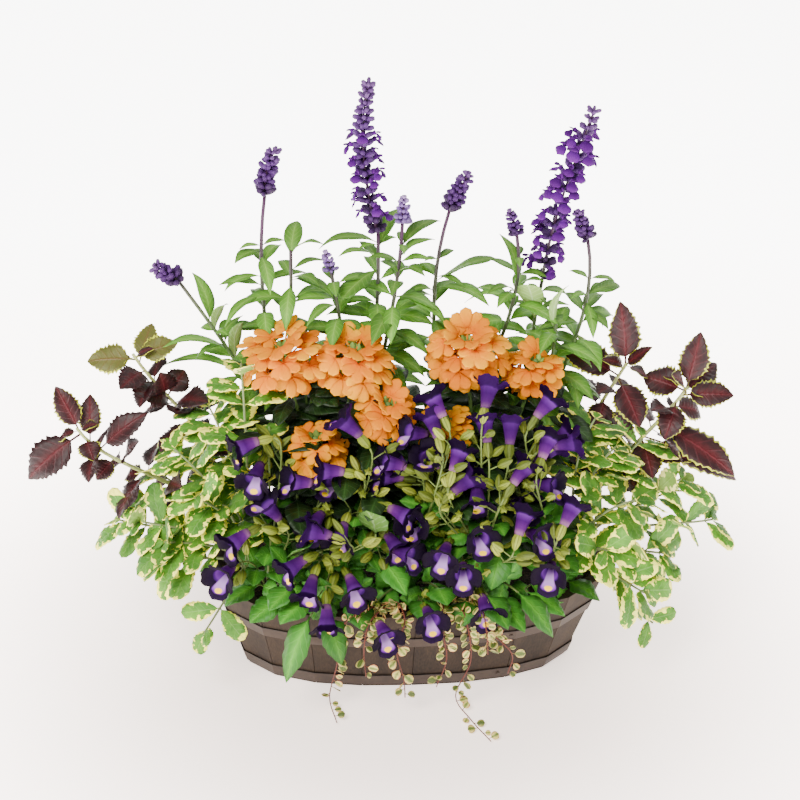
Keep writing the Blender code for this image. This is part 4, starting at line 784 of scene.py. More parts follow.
# Each flower: the middle of its face, then where it looks, as a compass bearing from +X
# towards +Y and a rise, in degrees
TORENIA_FLOWERS = (
    (-0.164, -0.062, 0.265, 200, -15),
    (-0.139, -0.083, 0.219, 190, 55), (-0.116, -0.075, 0.238, 195, 15),
    (-0.172, -0.100, 0.186, 215, -20), (-0.182, -0.112, 0.158, 240, 0),
    (-0.121, -0.112, 0.164, 210, -20), (-0.088, -0.071, 0.246, 185, 5),
    (-0.067, -0.055, 0.290, 160, 40), (-0.102, -0.122, 0.142, 250, -35),
    (-0.085, -0.136, 0.117, 270, -45), (-0.057, -0.122, 0.144, 290, -20),
    (-0.100, -0.100, 0.200, 170, 10), (-0.008, -0.056, 0.277, 200, 20),
    (-0.030, -0.067, 0.252, 190, 20), (-0.008, -0.090, 0.205, 330, -15),
    (0.010, -0.066, 0.256, 250, 50),
    (0.015, -0.045, 0.307, 130, 45), (-0.029, -0.138, 0.104, 290, -10),
    (0.012, -0.136, 0.120, 280, 0), (0.022, -0.108, 0.170, 250, -10),
    (0.040, -0.066, 0.262, 60, 45), (0.050, -0.076, 0.238, 20, 30),
    (0.056, -0.086, 0.216, 270, -40), (0.063, -0.052, 0.286, 100, 55),
    (0.088, -0.053, 0.284, 80, 55), (0.068, -0.040, 0.314, 70, 45),
    (0.042, -0.115, 0.156, 265, 5),
    (0.125, -0.045, 0.302, 30, 40), (0.123, -0.060, 0.270, 60, 40),
    (0.147, -0.062, 0.266, 0, 10), (0.101, -0.072, 0.247, 40, 35),
    (0.100, -0.092, 0.208, 60, 45), (0.116, -0.102, 0.186, 300, 10),
    (0.122, -0.116, 0.154, 255, 0),
    (0.145, -0.088, 0.213, 50, 40),
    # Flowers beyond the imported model's
    (-0.150, -0.073, 0.238, 250, -20), (-0.006, -0.105, 0.173, 320, 0),
    (0.059, -0.102, 0.186, 280, 10), (0.128, -0.080, 0.230, 330, 10),
    (0.014, -0.050, 0.289, 110, 40), (-0.098, -0.093, 0.199, 240, -10),
    (-0.073, -0.099, 0.185, 250, -30), (0.064, -0.129, 0.122, 280, -20),
    (-0.012, -0.052, 0.244, 200, 30), (-0.032, -0.058, 0.230, 190, 5),
    (-0.004, -0.084, 0.192, 250, 20), (-0.017, -0.094, 0.172, 300, -20),
    (0.127, -0.048, 0.252, 40, 30), (0.145, -0.038, 0.263, 20, 30),
    (0.105, -0.074, 0.204, 300, 10), (0.051, -0.056, 0.234, 30, 20),
    (-0.079, -0.060, 0.226, 220, 20), (0.012, -0.048, 0.254, 150, 50),
)
# The large leaves at the front: the foot of the leaf, then its tip
TORENIA_FRONT_LEAVES = (
    ((-0.100, -0.115, 0.115), (-0.133, -0.148, 0.070)),
    ((-0.105, -0.105, 0.125), (-0.128, -0.130, 0.128)),
    ((-0.085, -0.118, 0.118), (-0.066, -0.146, 0.084)),
    ((0.066, -0.110, 0.130), (0.084, -0.142, 0.122)),
    ((0.095, -0.110, 0.132), (0.132, -0.138, 0.110)),
    ((-0.112, -0.090, 0.165), (-0.104, -0.104, 0.196)),
    ((-0.038, -0.085, 0.185), (-0.042, -0.092, 0.225)),
    ((-0.030, -0.095, 0.160), (-0.008, -0.122, 0.148)),
    ((0.080, -0.090, 0.165), (0.066, -0.118, 0.146)),
    # Low leaves that close the front and hang over the rim
    ((0.108, -0.090, 0.118), (0.142, -0.112, 0.116)),
    ((0.075, -0.095, 0.118), (0.102, -0.130, 0.112)),
    ((0.048, -0.100, 0.118), (0.040, -0.128, 0.114)),
    ((0.010, -0.095, 0.116), (0.004, -0.122, 0.118)),
    ((-0.058, -0.095, 0.118), (-0.050, -0.126, 0.112)),
    ((-0.128, -0.088, 0.115), (-0.158, -0.106, 0.112)),
    ((-0.115, -0.095, 0.135), (-0.138, -0.122, 0.138)),
    ((-0.150, -0.070, 0.120), (-0.182, -0.086, 0.118)),
    ((0.020, -0.095, 0.130), (0.026, -0.124, 0.140)),
    ((0.128, -0.065, 0.135), (0.160, -0.082, 0.142)),
    ((0.130, -0.080, 0.150), (0.150, -0.105, 0.160)),
    ((0.150, -0.065, 0.112), (0.180, -0.085, 0.112)),
)

# Each plant: name, crown, then the ends of its shoots
MINT_PLANTS = (
    ("mint_left", (-0.156, -0.032), (
        (-0.160, 0.000, 0.322), (-0.192, 0.005, 0.275), (-0.225, -0.015, 0.240),
        (-0.205, -0.055, 0.210), (-0.280, -0.020, 0.165), (-0.240, -0.060, 0.140),
        (-0.200, -0.095, 0.085), (-0.245, 0.005, 0.205), (-0.235, -0.060, 0.165),
        (-0.180, -0.045, 0.195), (-0.190, 0.030, 0.230), (-0.260, -0.045, 0.180))),
    ("mint_right", (0.156, -0.032), (
        (0.174, -0.020, 0.268), (0.225, -0.005, 0.235), (0.265, -0.015, 0.195),
        (0.210, -0.060, 0.200), (0.300, -0.020, 0.150), (0.245, -0.055, 0.135),
        (0.235, -0.080, 0.070), (0.196, -0.025, 0.240), (0.222, -0.085, 0.110),
        (0.185, -0.070, 0.150), (0.200, 0.030, 0.210), (0.270, 0.010, 0.170))),
)

# Each stem: name, crown, end, then its leaves as (height on stem, tip, half width)
COLEUS_PLANTS = (
    ("coleus_left_upper", (-0.152, 0.034), (-0.262, 0.030, 0.318), (
        (0.312, (-0.304, 0.030, 0.311), 0.014), (0.314, (-0.221, 0.040, 0.324), 0.012),
        (0.308, (-0.246, 0.065, 0.332), 0.010), (0.300, (-0.272, -0.005, 0.300), 0.012),
        (0.275, (-0.236, 0.010, 0.308), 0.012), (0.268, (-0.262, 0.005, 0.292), 0.013),
        (0.272, (-0.216, 0.052, 0.288), 0.012), (0.255, (-0.222, -0.005, 0.272), 0.012))),
    ("coleus_left_lower", (-0.168, 0.004), (-0.316, 0.000, 0.256), (
        (0.250, (-0.364, -0.005, 0.205), 0.016), (0.252, (-0.334, 0.015, 0.292), 0.011),
        (0.244, (-0.300, -0.020, 0.232), 0.010), (0.240, (-0.305, 0.030, 0.275), 0.010),
        (0.232, (-0.250, 0.005, 0.268), 0.012), (0.222, (-0.300, -0.010, 0.205), 0.010),
        (0.205, (-0.275, 0.020, 0.190), 0.009))),
    ("coleus_right_upper", (0.152, 0.034), (0.211, 0.030, 0.300), (
        (0.297, (0.200, 0.035, 0.362), 0.0150), (0.286, (0.152, 0.050, 0.305), 0.0155),
        (0.284, (0.222, 0.000, 0.246), 0.0150), (0.296, (0.230, 0.015, 0.324), 0.0065),
        (0.296, (0.181, 0.010, 0.314), 0.0065), (0.262, (0.182, 0.010, 0.236), 0.012))),
    ("coleus_right_lower", (0.168, 0.004), (0.268, 0.010, 0.284), (
        (0.279, (0.229, 0.030, 0.284), 0.0155), (0.281, (0.277, 0.020, 0.336), 0.013),
        (0.277, (0.243, -0.020, 0.312), 0.011), (0.274, (0.310, 0.000, 0.278), 0.013),
        (0.276, (0.302, 0.040, 0.292), 0.013), (0.268, (0.244, -0.015, 0.240), 0.013),
        (0.262, (0.290, 0.035, 0.240), 0.012), (0.245, (0.316, -0.015, 0.198), 0.015),
        (0.230, (0.328, 0.015, 0.174), 0.013), (0.228, (0.232, -0.030, 0.206), 0.014),
        (0.215, (0.278, -0.010, 0.212), 0.009))),
)

# The tips of the drooping olive leaves, which the upper left coleus alone has
OLIVE_LEAVES = ((-0.304, 0.030, 0.311), (-0.221, 0.040, 0.324), (-0.246, 0.065, 0.332))

# Each plant: name, crown, then the routes of its trailers
VINE_PLANTS = (
    ("wire_vine_left", (-0.025, -0.080), (
        ((-0.030, -0.100, 0.112), (-0.045, -0.118, 0.108), (-0.050, -0.122, 0.080),
         (-0.048, -0.124, 0.050)),
        ((-0.018, -0.100, 0.118), (-0.012, -0.122, 0.112), (-0.020, -0.128, 0.085),
         (-0.012, -0.124, 0.045), (-0.010, -0.120, 0.020)),
        ((-0.038, -0.100, 0.114), (-0.070, -0.119, 0.106), (-0.075, -0.116, 0.060),
         (-0.082, -0.106, 0.012), (-0.076, -0.135, 0.004)))),
    ("wire_vine_right", (0.040, -0.080), (
        ((0.040, -0.100, 0.115), (0.046, -0.121, 0.108), (0.052, -0.118, 0.060),
         (0.040, -0.110, 0.012), (0.052, -0.135, 0.0035), (0.068, -0.168, 0.0035)),
        ((0.055, -0.100, 0.112), (0.066, -0.122, 0.100), (0.090, -0.124, 0.072),
         (0.088, -0.120, 0.045)),
        ((0.028, -0.100, 0.118), (0.022, -0.124, 0.108), (0.028, -0.126, 0.070),
         (0.020, -0.118, 0.030)),
        ((0.048, -0.095, 0.122), (0.060, -0.118, 0.122), (0.064, -0.134, 0.100),
         (0.066, -0.132, 0.078)))),
)


# Salvia

# Stems: their radii at foot and top. Leaves: a half width, or a length and a half width.
# The top ones are given by how far above the lowest placed leaf they stand, as a share of
# the stem, and by their length.
SALVIA_STEM = (0.0022, 0.0017)
SALVIA_LEAF_WIDE = 0.0085
SPOON_LEAF_WIDE = 0.0125
SALVIA_LOW_LEAF = (0.056, 0.0092)
SALVIA_TOP_LEAVES = ((0.07, 0.044), (0.13, 0.034), (0.18, 0.026))
SPIKE_STALK = (0.0017, 0.0008)
# A bud's least radius, how wide it is from foot to tip as shares of its radius, and the
# length of those at the very tip of a spike
BUD_RADIUS = 0.0013
BUD_PROFILE = (0.35, 0.85, 1.0, 1.05, 0.70)
TIP_BUD = 0.0038
# How far a petal reaches back into what carries it
PETAL_SEAT = 0.001


def salvia_plant(plant, crown, stems):
    """Stems with arching lance leaves: the ones named in the table near the top, and pairs
    of leaves below them down to the crown"""
    growth = Growth(plant, SALVIA_SKIN, SALVIA_BACK, SALVIA_BARK)
    draw = growth.draw
    widths = random.Random(plant)
    crown_foot(growth, crown, SALVIA_BARK)
    for end, leaves in stems:
        path = stem_path(crown_point(crown, end), Vector(end), spike_arrival(end))
        growth.stalk(path, SALVIA_STEM, SALVIA_BARK, 7)
        for height, tip in leaves:
            half_width = SALVIA_LEAF_WIDE * widths.uniform(0.85, 1.25)
            if tip in SPOON_LEAVES:
                leaf_to(growth, SPOON_LEAF_FORM, path, height, Vector(tip), SPOON_LEAF_WIDE,
                        35)
            else:
                leaf_to(growth, SALVIA_LEAF_FORM, path, height, Vector(tip),
                        half_width * 0.84, 76)
        lowest = share_at_height(path, min(height for height, _ in leaves))
        turn = draw.uniform(0, 90)
        share = 0.30
        while share < lowest + 0.04:
            leaf_pair(growth, draw, SALVIA_LEAF_FORM, path, share, turn, 30, SALVIA_LOW_LEAF,
                      74, 0.35)
            share += 0.054
            turn += 80
        for above, length in SALVIA_TOP_LEAVES:
            if lowest + above < STEM_TOP:
                leaf_pair(growth, draw, SALVIA_LEAF_FORM, path, lowest + above, turn, 38,
                          (length, length * 0.165), 62, 0.2)
            turn += 85
    growth.done(plant + "_leaves", plant)


def floret(growth, root, out, axis, length, lift, age, look):
    """One salvia bud or spent calyx: blunt, round and ribbed. Gives its tip and axes."""
    direction, face = raised(out, axis, lift)
    radius = max(length * 0.25, BUD_RADIUS)
    tip = root + direction * length
    growth.stalk(steps_between(root, tip, 4),
                 lambda share: radius * BUD_PROFILE[round(share * 4)], look, 6, age)
    return tip, direction, face, radius


def open_floret(growth, root, out, axis, reach, age):
    """A floret in flower: from the calyx a violet tube with a hooded upper lip and a broad
    rounded lower lip"""
    lift = math.radians(growth.draw.uniform(0, 30))
    tip, direction, face, radius = floret(growth, root, out, axis, reach * 0.5, lift, age,
                                          SALVIA_CALYX)
    mouth = tip + direction * reach * 0.16
    growth.stalk([point - direction * PETAL_SEAT for point in steps_between(tip, mouth, 3)],
                 (radius * 0.75, radius * 1.05), SALVIA_PETAL)
    growth.leaf(LIP_FORM, mouth + face * radius * 0.3 - direction * PETAL_SEAT, direction,
                face, reach * 0.30, reach * 0.15, 40, SALVIA_PETAL)
    side = direction.cross(face).normalized()
    down = Matrix.Rotation(math.radians(-42), 3, side) @ direction
    growth.leaf(LIP_FORM, mouth - face * radius * 0.6 - down * PETAL_SEAT, down,
                side.cross(down), reach * 0.48, reach * 0.27, 60, SALVIA_PETAL)


def salvia_spike(name, foot, tip, widest, bow, habit):
    """A spike of whorls: spent and dark at its foot, in flower above that, and closed and
    mauve towards its tip"""
    growth = Growth(name, SALVIA_CALYX, SALVIA_PETAL, SALVIA_PETAL_BACK, SALVIA_BARK,
                    SALVIA_PALE)
    draw = growth.draw
    bud = SALVIA_PALE if "pale" in name else SALVIA_CALYX
    start = spike_arrival(foot)
    foot, tip = Vector(foot), Vector(tip)
    axis = (tip - foot).normalized()
    span = (tip - foot).length
    aside = Vector((bow, 0, 0))
    path = bezier(foot + start * FOOT_OFF, foot + start * span * 0.35 - aside,
                  tip - axis * span * 0.3 - aside, tip, 24)
    growth.stalk(path, SPIKE_STALK, SALVIA_BARK)
    whorls = round(span / habit.spacing)
    for number in range(whorls):
        share = 1 - (1 - (number + 0.35) / whorls) ** habit.crowding
        point, axis = along(path, share)
        side, other = side_axes(axis, Vector((0, 1, 0)))
        reach = widest * (1 - habit.narrowing * share) * habit.wide
        florets = 8 if share < 0.9 else 6
        chosen = (draw.sample(range(florets), draw.choice(habit.open))
                  if 0.04 < share < habit.open_to else ())
        for k in range(florets):
            turn = 2 * math.pi * (k + 0.5 * (number % 2) + draw.uniform(-0.2, 0.2)) / florets
            out = around(side, other, turn)
            age = min(max(share * 0.95 + draw.uniform(-0.10, 0.10), 0), 1)
            root = point + out * 0.0006 + axis * draw.uniform(-0.0012, 0.0012)
            if k in chosen:
                open_floret(growth, root, out, axis, widest * draw.uniform(*habit.reach), age)
            else:
                length = min(reach * habit.bud, habit.longest) * draw.uniform(0.8, 1.1)
                floret(growth, root, out, axis, length, math.radians(draw.uniform(10, 48)),
                       age, bud)
    point, axis = along(path, 0.97)
    for k in range(5):
        out = around(*side_axes(axis, Vector((0, 1, 0))), 2 * math.pi * k / 5)
        floret(growth, point + out * 0.0004, out, axis, TIP_BUD, math.radians(70), 1.0, bud)
    growth.done(name + "_florets", name)


for plant in SALVIA_PLANTS:
    salvia_plant(*plant)
for spike in SPIKES:
    salvia_spike(*spike)


# Crossandra

# Stems and flower tubes: radii at foot and top. Then how far the head's foot lies below its
# middle, the length of its spike of bracts, a bract's length and half width, the longest
# lobe, and the radius above which a head counts as wide.
HEAD_STEM = (0.0022, 0.0018)
SIDE_STEM = (0.0018, 0.0012)
CROSSANDRA_TUBE = (0.0007, 0.0011)
HEAD_BELOW = 0.020
BRACT_SPIKE = 0.040
BRACT = (0.010, 0.0034)
LONGEST_LOBE = 0.021
WIDE_HEAD = 0.036
# The five lobes of a flower, by their angle from the middle one, the hindmost first
LOBE_ANGLES = (104, -104, 52, -52, 0)
# The tiers of a head: its flowers in a wide head and in a small one, how far they are raised
# in degrees, its height on the spike, its reach as a share of the head's, and how far its
# flowers nod, in degrees
HEAD_TIERS = ((8, 7, 0, 0.009, 1.0, 44), (7, 5, 24, 0.014, 0.94, 38),
              (5, 3, 50, 0.018, 0.80, 24), (6, 5, -24, 0.006, 0.84, 46))
# The leaves of a stem under a head, by their place on it and their length, and of a side stem
HEAD_STEM_LEAVES = ((0.34, 0.066), (0.44, 0.068), (0.53, 0.066), (0.68, 0.062),
                    (0.76, 0.058), (0.84, 0.052), (0.91, 0.046), (0.965, 0.042))
SIDE_STEM_LEAVES = (0.40, 0.52, 0.64, 0.76, 0.87, 0.97)
SIDE_LEAF = (0.058, 0.0125)
PLACED_LEAF = (0.062, 0.012)


def head_axis(crown, middle):
    """A head leans out from its plant and a little to the front"""
    out = Vector((middle.x - crown[0], middle.y - crown[1], 0))
    return (UP + out * 3 + Vector((0, -0.20, 0))).normalized()


def crossandra_flower(growth, root, direction, face, reach, limb, nod):
    """A tube that opens into a flat fan of five rounded lobes, one behind the other"""
    draw = growth.draw
    face = Matrix.Rotation(draw.uniform(-0.45, 0.45), 3, direction) @ face
    throat = root + direction * (reach - limb)
    growth.stalk(steps_between(root, throat, 3), CROSSANDRA_TUBE, CROSSANDRA_PETAL_BACK)
    right = direction.cross(face).normalized()
    tilt = Matrix.Rotation(math.radians(-nod), 3, right)
    ahead, normal = tilt @ direction, tilt @ face
    tone = draw.random()
    for number, angle in enumerate(LOBE_ANGLES):
        turn = Matrix.Rotation(math.radians(angle + draw.uniform(-5, 5)), 3, normal)
        out = turn @ ahead
        lobe, top = raised(out, normal, math.radians(draw.uniform(4, 14)))
        length = limb * (1.04 if abs(angle) < 90 else 0.92)
        growth.leaf(PETAL_FORM, throat + normal * (0.0003 * number) - out * 0.0006, lobe,
                    top, length, length * 0.30, 24, CROSSANDRA_PETAL, tone)


def crossandra_head(name, crown, middle, radius):
    """A green spike of bracts and the tiers of flowers round it"""
    growth = Growth(name, CROSSANDRA_PETAL, CROSSANDRA_PETAL_BACK, CROSSANDRA_BRACT,
                    CROSSANDRA_BRACT, CROSSANDRA_BARK)
    draw = growth.draw
    axis = head_axis(crown, middle)
    foot = middle - axis * (HEAD_BELOW - FOOT_OFF)
    side, other = side_axes(axis)
    core = [foot + axis * (BRACT_SPIKE * 0.62 * k / 8) for k in range(9)]
    growth.stalk(core, lambda share: 0.0022 + 0.0034 * math.sin(math.pi * min(share * 1.1, 1)),
                 CROSSANDRA_BARK, 10)
    for row in range(4):
        height = BRACT_SPIKE * (0.12 + 0.12 * row)
        for k in range(6):
            out = around(side, other, 2 * math.pi * (k + 0.5 * (row % 2)) / 6)
            up = (axis + out * 0.28).normalized()
            face = (out - up * out.dot(up)).normalized()
            growth.leaf(BRACT_FORM, foot + axis * height + out * 0.0036, up, face, *BRACT,
                        -12, CROSSANDRA_BRACT)
    limb = min(LONGEST_LOBE, radius * 0.56)
    for tier, (wide_count, small_count, lift, height, size, nod) in enumerate(HEAD_TIERS):
        count = wide_count if radius > WIDE_HEAD else small_count
        for k in range(count):
            turn = 2 * math.pi * (k + 0.5 * tier + draw.uniform(-0.18, 0.18)) / count
            out = around(side, other, turn)
            direction, face = raised(out, axis, math.radians(lift + draw.uniform(-9, 9)))
            reach = radius * 1.10 * size * draw.uniform(0.90, 1.04)
            crossandra_flower(growth, foot + axis * height, direction, face, reach,
                              limb * draw.uniform(0.82, 0.95), nod + draw.uniform(-16, 16))
    growth.done(name + "_petals", name)


def crossandra_plant(plant, crown, heads, ends):
    """The dark leafy stems that carry the heads, and others between them"""
    growth = Growth(plant, CROSSANDRA_SKIN, CROSSANDRA_BACK, CROSSANDRA_BARK)
    draw = growth.draw
    crown_foot(growth, crown, CROSSANDRA_BARK)
    pairs = random.Random(plant)
    for _, middle, _ in heads:
        middle = Vector(middle)
        axis = head_axis(crown, middle)
        path = stem_path(crown_point(crown, middle), middle - axis * HEAD_BELOW, axis)
        growth.stalk(path, HEAD_STEM, CROSSANDRA_BARK, 7)
        leaf_pair(growth, pairs, CROSSANDRA_LEAF_FORM, path, 0.60, pairs.uniform(0, 90), 30,
                  PLACED_LEAF, 40)
        turn = draw.uniform(0, 90)
        for share, length in HEAD_STEM_LEAVES:
            leaf_pair(growth, draw, CROSSANDRA_LEAF_FORM, path, share, turn, 22,
                      (length, length * 0.20), 42, 0.4)
            turn += 78
    for end in ends:
        end = Vector(end)
        path = stem_path(crown_point(crown, end), end, UP)
        growth.stalk(path, SIDE_STEM, CROSSANDRA_BARK)
        turn = draw.uniform(0, 90)
        for share in SIDE_STEM_LEAVES:
            leaf_pair(growth, draw, CROSSANDRA_LEAF_FORM, path, share, turn, 22, SIDE_LEAF,
                      42, 0.5)
            turn += 78
    growth.done(plant + "_leaves", plant)


for plant, crown, heads, ends in CROSSANDRA_PLANTS:
    crossandra_plant(plant, crown, heads, ends)
    for name, middle, radius in heads:
        crossandra_head(name, crown, Vector(middle), radius)


# Torenia

# The flower: the length of its calyx, the distance from the calyx's mouth to its face, the
# reach of its lobes, the radii of its tube at both ends, and the steps along the tube and
# along tube and lobes together. Then the radii of an open and a closed calyx.
CALYX_LENGTH = 0.020
TORENIA_TUBE = 0.020
TORENIA_FACE = 0.0135
TUBE_RADIUS = 0.0042
THROAT_RADIUS = 0.0078
TUBE_STEPS = 6
COROLLA_STEPS = 14
OPEN_CALYX_RADIUS = 0.0047
CLOSED_CALYX_RADIUS = 0.0046
# Places along a calyx and how wide it is there, as a share of its radius, up to its mouth
CALYX_PROFILE = ((0.0, 0.0), (0.02, 0.20), (0.14, 0.62), (0.34, 0.96), (0.56, 1.0),
                 (0.78, 0.72))
# Stems: radii at foot and top. Leaves: a half width, or a length and a half width.
FLOWER_STEM = (0.0012, 0.0009)
LEAF_STEM = (0.0012, 0.0010)
CALYX_STEM = (0.0007, 0.0006)
FRONT_LEAF_WIDE = 0.0152
FRONT_PAIR = (0.026, 0.0105)
SHOOT_PAIR = (0.029, 0.0115)


def heading(bearing, rise):
    """The direction of a bearing from +X towards +Y and a rise, in degrees"""
    b, r = math.radians(bearing), math.radians(rise)
    return Vector((math.cos(b) * math.cos(r), math.sin(b) * math.cos(r), math.sin(r)))


def calyx(growth, foot, axis, length, radius, closed):
    """A winged calyx: an oval bag with five wings along it, shut at its tip until the
    flower opens"""
    side, other = side_axes(axis)
    rings = []
    mouth = ((0.93, 0.36 if closed else 0.56), (1.0, 0.06 if closed else 0.48))
    for share, wide in CALYX_PROFILE + mouth:
        def ring(turn, share=share, wide=wide):
            wing = 0.80 + 0.26 * math.cos(5 * turn)
            out = around(other, side, turn)
            return foot + axis * (length * share) + out * (radius * wide * wing)
        rings.append(ring)
    rings.append(lambda turn: foot + axis * length)
    growth.wrap(10, rings, TORENIA_CALYX)


def corolla(growth, mouth, middle, bow, look):
    """A trumpet: a wide funnel that bows from the calyx to its face, and four rounded
    ruffled lobes that spread outwards from it"""
    tone = growth.draw.random()
    reach = TORENIA_FACE * growth.draw.uniform(0.88, 1.06)
    throat = middle - look * 0.003
    path = bezier(mouth - bow * 0.002, mouth + bow * 0.005, throat - look * 0.006, throat,
                  TUBE_STEPS)
    side, other = side_axes(look)
    phase = growth.draw.uniform(0, 6.3)
    rolls = [growth.draw.uniform(-16, 16) for _ in range(4)]

    def place(across, along_it):
        turn = (across + 1) * math.pi
        step = round(along_it * COROLLA_STEPS)
        if step <= TUBE_STEPS:
            near, far = side_axes(heading_at(path, step))
            radius = TUBE_RADIUS + (THROAT_RADIUS - TUBE_RADIUS) * (step / TUBE_STEPS) ** 1.1
            return path[step] + around(far, near, turn) * radius
        spread = (step - TUBE_STEPS) / (COROLLA_STEPS - TUBE_STEPS)
        # 0 in the middle of a lobe and 1 between two lobes
        quarter = abs((turn / (math.pi / 2) + 0.5) % 1 - 0.5) * 2
        # Each lobe is an arc that goes on forwards from the funnel and bends outwards. The
        # lower one, half a turn from the top, bends least and reaches furthest, as a lip.
        lower = max(-math.cos(turn), 0) ** 2
        roll = rolls[round(turn / (math.pi / 2)) % 4] * (1 - quarter)
        first = math.radians(24)
        last = math.radians(70 - 12 * lower + 22 * quarter ** 2 + roll)
        bend = first + (last - first) * spread
        arc = reach * (1 + 0.20 * lower) * (1 - 0.42 * quarter ** 5) / (last - first)
        radius = THROAT_RADIUS + arc * (math.cos(first) - math.cos(bend))
        ruffle = 0.0010 * spread * spread * math.sin(turn * 11 + phase)
        forward = arc * (math.sin(bend) - math.sin(first)) + ruffle
        return throat + around(other, side, turn) * radius + look * forward
    growth.sheet(growth.thin, 32, COROLLA_STEPS, place, TORENIA_TUBE_SKIN, tone)


def torenia_shoot(growth, crown, flower):
    """A shoot with its flower. Gives its path."""
    middle = Vector(flower[:3])
    look = heading(*flower[3:])
    bow = (look + UP * 0.25).normalized()
    mouth = middle - look * TORENIA_TUBE * 0.95
    foot = mouth - bow * CALYX_LENGTH * 0.85
    start = crown_point(crown, foot)
    path = bezier(start, start + UP * (foot - start).length * 0.45, foot - bow * 0.02, foot,
                  12)
    growth.stalk(path, FLOWER_STEM, TORENIA_BARK)
    calyx(growth, foot, bow, CALYX_LENGTH, OPEN_CALYX_RADIUS, False)
    corolla(growth, mouth, middle, bow, look)
    return path


def closed_calyxes(growth, path, share, count):
    """Closed calyxes beside the open flower, in a loose group"""
    draw = growth.draw
    point, axis = along(path, share)
    side, other = side_axes(axis)
    first = draw.uniform(0, 2 * math.pi)
    for k in range(count):
        angle = first + math.pi * k + draw.uniform(-0.4, 0.4)
        out = (axis * draw.uniform(0.5, 1.1) + side * math.cos(angle)
               + other * math.sin(angle)).normalized()
        end = point + out * draw.uniform(0.006, 0.014)
        growth.stalk(steps_between(point, end, 4), CALYX_STEM, TORENIA_BARK)
        calyx(growth, end, out, CALYX_LENGTH * draw.uniform(0.78, 1.0),
              CLOSED_CALYX_RADIUS * draw.uniform(0.8, 1.0), True)


def torenia_plant(plant, crown, flowers, front_leaves):
    """A plant's front leaves on stems of their own, and its shoots with flowers, closed
    calyxes and leaves"""
    growth = Growth(plant, TORENIA_SKIN, TORENIA_BACK, TORENIA_BARK, TORENIA_TUBE_SKIN,
                    TORENIA_FACE_SKIN, TORENIA_CALYX)
    draw = growth.draw
    crown_foot(growth, crown, TORENIA_BARK)
    for foot, tip in front_leaves:
        foot, tip = Vector(foot), Vector(tip)
        out = (tip - foot).normalized()
        path = stem_path(crown_point(crown, foot), foot, out, 0.35)
        growth.stalk(path, LEAF_STEM, TORENIA_BARK)
        side = out.cross(UP).normalized()
        growth.leaf(TORENIA_LEAF_FORM, path[-1] - out * PETAL_SEAT, out, side.cross(out),
                    (tip - foot).length * 1.06, FRONT_LEAF_WIDE, 32, TORENIA_SKIN)
        leaf_pair(growth, draw, TORENIA_LEAF_FORM, path, 0.72, draw.uniform(0, 90), 25,
                  FRONT_PAIR, 25)
    for flower in flowers:
        path = torenia_shoot(growth, crown, flower)
        turn = draw.uniform(0, 90)
        for share in (0.36, 0.54):
            leaf_pair(growth, draw, TORENIA_LEAF_FORM, path, share, turn, 25, SHOOT_PAIR, 30,
                      0.6)
            turn += 85
        for share, count in ((0.78, 2), (0.86, 1), (0.93, draw.choice((1, 2)))):
            closed_calyxes(growth, path, share, count)
    growth.done(plant + "_shoots", plant)


def nearest_crown(x):
    """The number of the torenia crown nearest to a place across the tub"""
    return min(range(5), key=lambda number: abs(TORENIA_CROWNS[number] - x))


for number, x in enumerate(TORENIA_CROWNS):
    flowers = [flower for flower in TORENIA_FLOWERS if nearest_crown(flower[0]) == number]
    leaves = [leaf for leaf in TORENIA_FRONT_LEAVES if nearest_crown(leaf[0][0]) == number]
    torenia_plant("torenia_%d" % (number + 1), (x, TORENIA_CROWN_Y), flowers, leaves)


# Variegated mint

MINT_STALK = (0.0016, 0.0010)
MINT_LEAF = (0.032, 0.0095)
# Shoots that end below the first height have small leaves and no extra pairs. Those that
# end above the second have two pairs more, by their place on the stem and their size.
LOW_SHOOT = 0.10
TALL_SHOOT = 0.22
MINT_PAIRS = ((0.995, 0.80), (0.83, 1.35), (0.56, 1.30))
TALL_MINT_PAIRS = ((0.89, 1.20), (0.75, 1.35))

for number, (plant, crown, ends) in enumerate(MINT_PLANTS):
    growth = Growth(plant, MINT_SKIN, MINT_BACK, MINT_BARK)
    crown_foot(growth, crown, MINT_BARK)
    for k, end in enumerate(ends):
        end = Vector(end)
        out = Vector((end.x - crown[0], end.y - crown[1], 0))
        arrival = (out.normalized() + UP * max(end.z - 0.13, -0.06) * 8).normalized()
        path = stem_path(crown_point(crown, end), end, arrival)
        growth.stalk(path, MINT_STALK, MINT_BARK)
        pairs = random.Random(number * len(ends) + k)
        turn = pairs.uniform(0, 90)
        low = end.z < LOW_SHOOT
        length, half_width = (value * (0.8 if low else 1.0) for value in MINT_LEAF)
        leaf_pair(growth, pairs, MINT_LEAF_FORM, path, 0.95, turn, 25,
                  (length * 1.28, half_width * 1.15), 25, 0.6)
        leaf_pair(growth, pairs, MINT_LEAF_FORM, path, 0.68, turn + 90, 25,
                  (length * 1.45, half_width * 1.25), 25, 0.6)
        turn += 45
        extra = MINT_PAIRS + TALL_MINT_PAIRS if end.z > TALL_SHOOT else MINT_PAIRS
        for share, size in () if low else extra:
            leaf_pair(growth, growth.draw, MINT_LEAF_FORM, path, share, turn, 25,
                      (length * size, half_width * size * 0.9), 30, 0.55)
            turn += 82
    growth.done(plant + "_leaves", plant)


# Coleus

COLEUS_STALK = (0.0028, 0.0016)
# Tones that the leaf's material reads: yellow edges above a third, olive above two thirds
OLIVE_TONE = 0.9
YOUNG_TONE = 0.44
LEFT_TONE = 0.10
RIGHT_TONE = 0.42
